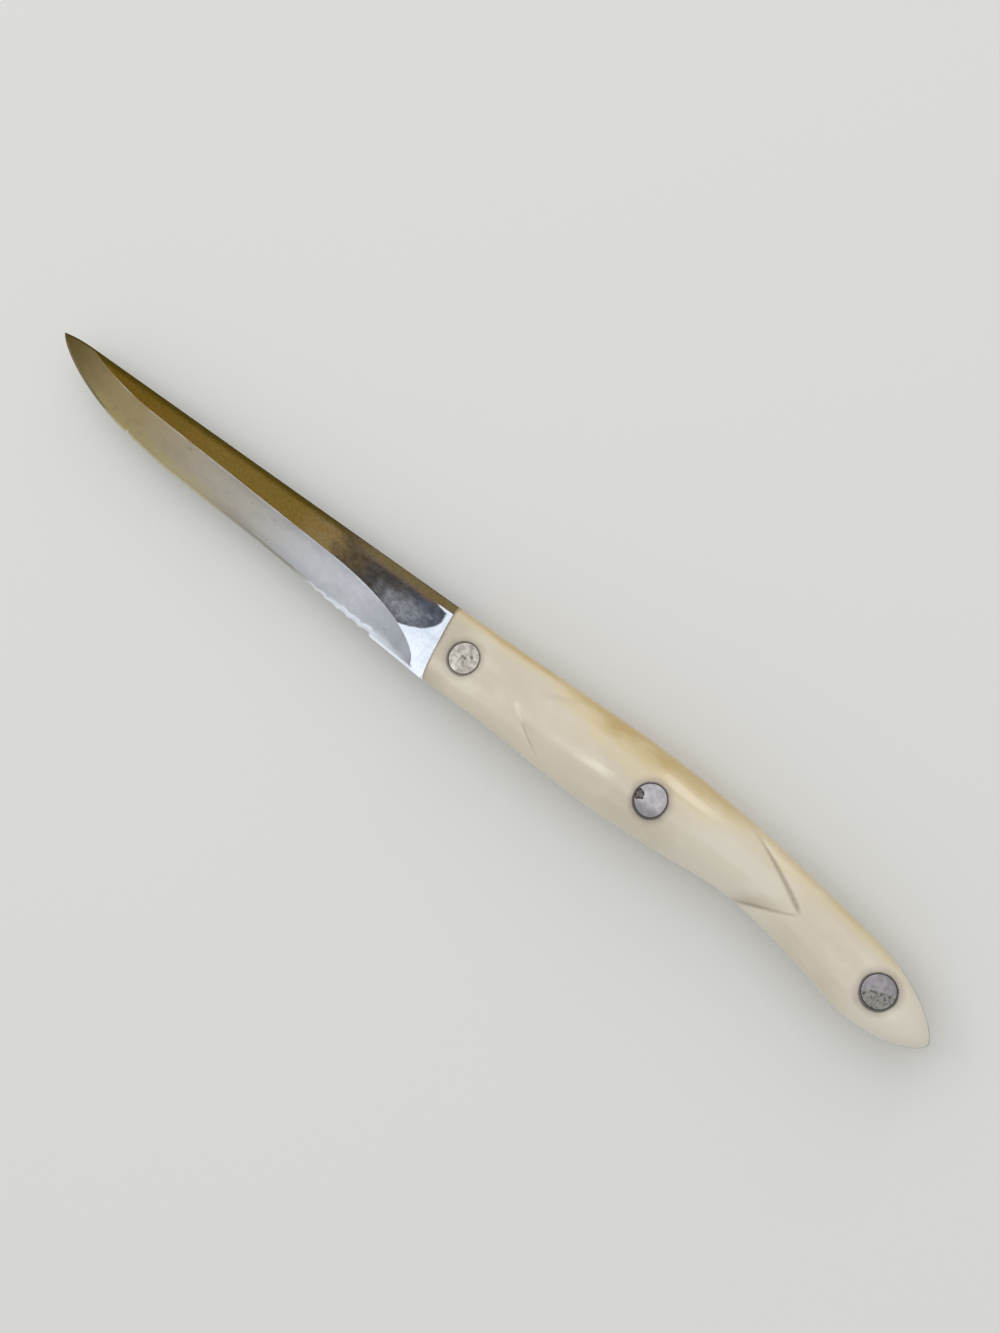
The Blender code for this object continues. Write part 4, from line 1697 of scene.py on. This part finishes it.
@dataclass
class RivetHalf:
    """Sleeve or pin of a two-piece rivet, turned and then ground flush with the handle's side."""

    NOT_GROUND: ClassVar[float] = -1.0

    place: RivetPlace
    side: Side
    head_radius: float = 0.003375
    edge_rounding: float = 0.00016
    sleeve_radius: float = 0.0024
    pin_radius: float = 0.0014
    fit_gap: float = 0.0003
    seat: float = 0.0034
    pit_depth: float = 0.00012
    face_rings: int = 30
    rounding_steps: int = 5
    sides: int = 112
    spin_radius: float = 0.0010
    sharp_angle: float = math.radians(35)

    @property
    def name(self) -> str:
        """Name of the half's CAD node."""
        return f"{self.place.name}_rivet_{'sleeve' if self.side is Side.LEFT else 'pin'}"

    def profile(self) -> list[tuple[float, float, float]]:
        """Corners of the half's section.

        Returns:
            Radius, height towards the half's own side, and how far the corner sinks below the ground
            surface, which is below zero for a corner that isn't ground.
        """
        rounding = self.edge_rounding
        face = self.head_radius - rounding
        corners = [(face * i / self.face_rings, CLEAR, 0.0) for i in range(self.face_rings + 1)]
        for i in range(1, self.rounding_steps + 1):
            angle = math.pi / 2 * i / self.rounding_steps
            sink = rounding * (1 - math.cos(angle))
            corners.append((face + rounding * math.sin(angle), CLEAR, sink))
        seat = self.seat
        end = self.fit_gap - seat
        bore = self.pin_radius + self.fit_gap
        tube = ((self.sleeve_radius, seat), (self.sleeve_radius, end), (bore, end), (bore, seat), (0.0, seat))
        shank = ((self.pin_radius, seat), (self.pin_radius, end), (0.0, end))
        rest = ((self.head_radius, seat), *(tube if self.side is Side.LEFT else shank))
        return corners + [(radius, height, self.NOT_GROUND) for radius, height in rest]

    @classmethod
    def turning(cls) -> ShapeGraph:
        """Tree that turns a section about the rivet's axis, grinds the head flush and wears it.

        Returns:
            The tree, with inputs for the rivet's place, its head, its wear, the handle's side and the finish.
        """
        g = ShapeGraph("flush_rivet")
        centre = g.input("Centre", "NodeSocketVector")
        sides = g.input("Sides", "NodeSocketInt")
        spin_radius = g.input("Spin radius")
        head = g.input("Head radius")
        facing = g.input("Facing")
        ground = g.input("Handle side", "NodeSocketObject")
        wear = {}
        for size in fields(Wear):
            kind = "NodeSocketFloat" if size.type is float else "NodeSocketVector"
            wear[size.name] = g.input(label(size.name), kind)
        depth = g.input("Pit depth")
        curve = g.term("GeometryNodeMeshToCurve", {"Mesh": g.geometry})
        round_path = {"Resolution": sides, "Radius": spin_radius}
        circle = g.term("GeometryNodeCurvePrimitiveCircle", round_path, {"mode": "RADIUS"})
        spun = g.term("GeometryNodeCurveToMesh", {"Curve": circle, "Profile Curve": curve})
        spun = g.term("GeometryNodeMergeByDistance", {"Geometry": spun, "Distance": MERGE})
        spun = g.term("GeometryNodeSetPosition", {"Geometry": spun, "Offset": centre})
        sink = g.stored("sink")
        place = g.term("GeometryNodeInputPosition")
        x, y, _ = g.parts(place)
        relative = {"transform_space": "RELATIVE"}
        target = g.term("GeometryNodeObjectInfo", {"Object": ground}, relative, "Geometry")
        ray = {"Target Geometry": target, "Source Position": place, "Ray Length": 1.0}
        ray["Ray Direction"] = g.joined(0.0, 0.0, -facing)
        hit = g.term("GeometryNodeRaycast", ray, None, "Hit Position")
        patch, pits = cls.worn(g, g.vector("SUBTRACT", place, centre), head, wear)
        level = g.parts(hit)[2] - facing * (sink + depth * (0.4 * patch + pits).least(1.0))
        on_head = sink.above(cls.NOT_GROUND / 2)
        for name, value in (("wear", patch), ("pits", pits)):
            stored = {"Geometry": spun, "Name": name, "Value": value * on_head}
            settings = {"data_type": "FLOAT", "domain": "POINT"}
            spun = g.term("GeometryNodeStoreNamedAttribute", stored, settings)
        settled = {"Geometry": spun, "Selection": on_head, "Position": g.joined(x, y, level)}
        made = g.term("GeometryNodeSetPosition", settled)
        g.end(made, [(None, g.input("Finish", "NodeSocketMaterial"))])
        return g

    @staticmethod
    def worn(g: ShapeGraph, off: Term, head: Term, wear: Mapping[str, Term]) -> tuple[Term, Term]:
        """How far each place on the head is eaten away.

        Args:
            g: The tree.
            off: Place from the rivet's middle.
            head: The head's radius.
            wear: The tree's inputs for the wear.

        Returns:
            The corroded patch and the pits, each from zero to one.
        """
        least_dent = 0.01
        x, y, _ = g.parts(off)
        x, y = x / head, y / head
        flat = g.joined(x, y, wear["seed"])
        coarse = g.noise(flat, (0.42, 0.42, 1.0), 0.0, 4.0)
        fine = g.noise(flat, (0.15, 0.15, 1.0), 2.0, 3.0)
        inward = wear["patch_size"] - span(x - wear["patch_x"], y - wear["patch_y"])
        inward = inward + (coarse - 0.5) * wear["patch_wobble"]
        patch = inward.band(-0.02, 0.06)
        rim = inward.band(0.30, 0.06) * 0.10
        in_patch = (fine + rim).band(0.55, 0.65) * patch * wear["patch_pits"]
        free = fine.band(0.57, 0.66) * span(x, y).band(0.70, 0.30) * wear["free_pits"]
        pits = in_patch.most(free)
        for name in ("first_dent", "second_dent", "third_dent"):
            dent_x, dent_y, reach = g.parts(wear[name])
            near = (span(x - dent_x, y - dent_y) + fine.sway(0.2)) / reach.most(least_dent)
            pits = pits.most(near.band(1.3, 0.6) * reach.above(least_dent) * 0.5)
        return patch, pits.clamped()

    def build(self, zero: Vector, tree: ShapeGraph, envelope: Piece, finish: Material) -> Piece:
        """Builds the half.

        Args:
            zero: The knife frame's zero in the scene.
            tree: The turning tree.
            envelope: The handle's undrilled side, which the head is ground flush with.
            finish: The head's material.

        Returns:
            The half.
        """
        body = bmesh.new()
        sinks = body.verts.layers.float.new("sink")
        rims = body.verts.layers.float.new("rim")
        chain = []
        for radius, height, sink in self.profile():
            corner = body.verts.new((radius - self.spin_radius, -self.side.value * height, 0.0))
            corner[sinks] = sink
            corner[rims] = 1.0 if sink < 0.0 else sink / self.edge_rounding
            chain.append(corner)
        for pair in zip(chain, chain[1:]):
            body.edges.new(pair)
        piece = new_piece(f"{self.name}_piece", body)
        values = {
            "Centre": zero + Vector((self.place.x, self.place.y, 0.0)),
            "Sides": self.sides,
            "Spin radius": self.spin_radius,
            "Head radius": self.head_radius,
            "Facing": float(self.side.value),
            "Handle side": envelope,
            "Pit depth": self.pit_depth,
            "Finish": finish,
        }
        tree.attach(piece, {**values, **labelled(self.place.wear.on(self.side))})
        settle(piece, self.name)
        return piece

    def dress(self, piece: Piece) -> None:
        """Shades the half and hands it over.

        Args:
            piece: The turned half.
        """
        shade(piece, self.sharp_angle)
        piece.data.attributes.remove(piece.data.attributes["sink"])
        hand_over(piece, self.name)


@dataclass
class Lamp:
    """A soft rectangular lamp that faces the knife."""

    name: str
    place: tuple[float, float, float]
    size: tuple[float, float]
    glow: float
    along: tuple[float, float, float] = (1.0, 0.0, 0.0)

    def hang(self, target: Vector) -> None:
        """Adds the lamp.

        Args:
            target: The point that it faces.
        """
        light = bpy.data.lights.new(self.name, "AREA")
        light.shape = "RECTANGLE"
        light.size, light.size_y = self.size
        light.energy = self.glow * math.pi * self.size[0] * self.size[1]
        back = (Vector(self.place) - target).normalized()
        long_side = Vector(self.along)
        long_side = (long_side - back * long_side.dot(back)).normalized()
        turn = Matrix((long_side, back.cross(long_side), back)).transposed().to_4x4()
        lamp = bpy.data.objects.new(self.name, light)
        lamp.matrix_world = Matrix.Translation(self.place) @ turn
        bpy.context.scene.collection.objects.link(lamp)


@dataclass
class Studio:
    """Pale floor, soft light and the camera."""

    floor_size: float = 30.0
    floor_colour: Colour = paint(226, 226, 223)
    floor_roughness: float = 0.7
    sky_colour: Colour = (1.0, 1.0, 1.0)
    sky_strength: float = 0.64
    target: tuple[float, float, float] = (0.01093, 0.00263, 0.00876)
    distance: float = 0.3949
    lean: float = math.radians(20.0)
    roll: tuple[float, float] = (0.7717, 0.6365)
    lens: float = 50.96
    sensor: float = 36.0
    clip: tuple[float, float] = (0.01, 20.0)
    lamps: tuple[Lamp, ...] = (
        Lamp("overhead_softbox", place=(-0.30, 0.17, 0.98), size=(1.7, 1.4), glow=0.55),
        Lamp("crest_strip", place=(-0.35, -0.21, 0.80), size=(0.07, 0.24), glow=4.5),
        Lamp("shoulder_strip", place=(-0.15, 0.88, 0.48), size=(0.15, 0.40), glow=3.0),
    )

    def build(self) -> None:
        """Adds the floor, the sky, the lamps and the camera."""
        self.lay_floor()
        self.light()
        self.aim_camera()

    def lay_floor(self) -> None:
        """Adds a plain pale floor."""
        body = bmesh.new()
        bmesh.ops.create_grid(body, x_segments=1, y_segments=1, size=self.floor_size / 2)
        floor = new_piece("floor", body)
        surface = Surface("pale_floor", Vector())
        surface.wear(base_color=self.floor_colour, roughness=self.floor_roughness)
        floor.data.materials.append(surface.material)

    def light(self) -> None:
        """Adds an even pale sky and the lamps."""
        scene = bpy.context.scene
        scene.view_settings.view_transform = "Standard"
        world = bpy.data.worlds.new("pale_sky")
        world.use_nodes = True
        sky = world.node_tree.nodes["Background"]
        sky.inputs["Color"].default_value = (*self.sky_colour, 1.0)
        sky.inputs["Strength"].default_value = self.sky_strength
        scene.world = world
        for lamp in self.lamps:
            lamp.hang(Vector(self.target))

    def aim_camera(self) -> None:
        """Adds the camera: above the butt, leaning along the knife, with the knife across the picture."""
        back = Vector((math.sin(self.lean), 0.0, math.cos(self.lean)))
        along = Vector((math.cos(self.lean), 0.0, -math.sin(self.lean)))
        across = Vector((0.0, 1.0, 0.0))
        right = self.roll[0] * along + self.roll[1] * across
        up = self.roll[0] * across - self.roll[1] * along
        data = bpy.data.cameras.new("camera")
        data.lens = self.lens
        data.sensor_width = self.sensor
        data.clip_start, data.clip_end = self.clip
        camera = bpy.data.objects.new("camera", data)
        turn = Matrix((right, up, back)).transposed().to_4x4()
        camera.matrix_world = Matrix.Translation(Vector(self.target) + back * self.distance) @ turn
        bpy.context.scene.collection.objects.link(camera)
        bpy.context.scene.camera = camera


@dataclass
class Knife:
    """The whole knife, built piece by piece in the place of its CAD nodes."""

    handle: Handle = field(default_factory=Handle)
    blade: Blade = field(default_factory=Blade)

    def build(self) -> None:
        """Builds and dresses every piece."""
        handle = self.handle
        steel = {
            "Flat finish": PolishedFlat().material("polished_flat", handle),
            "Bevel finish": SatinBevel().material("satin_bevel", handle),
            "Edge finish": HonedEdge().material("honed_edge", handle),
        }
        self.blade.dress(self.blade.build(handle, steel))
        resin = PearlResin().material("pearl_resin", handle)
        metals = [rivet.metal.material(f"{rivet.name}_rivet", handle) for rivet in handle.rivets]
        tree = RivetHalf.turning()
        for side in Side:
            scale = Scale(side, handle)
            scale.dress(scale.build(), resin)
            envelope = scale.half(f"{scale.name}_envelope", -CLEAR)
            envelope.hide_render = True
            for rivet, metal in zip(handle.rivets, metals):
                half = RivetHalf(rivet, side)
                half.dress(half.build(handle.zero, tree, envelope, metal))
            drop(envelope)


def main() -> None:
    """Loads the frame and builds the studio and the knife around it."""
    logging.basicConfig(level=logging.INFO, format="%(name)s: %(message)s")
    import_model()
    Studio().build()
    Knife().build()


if __name__ == "__main__":
    main()
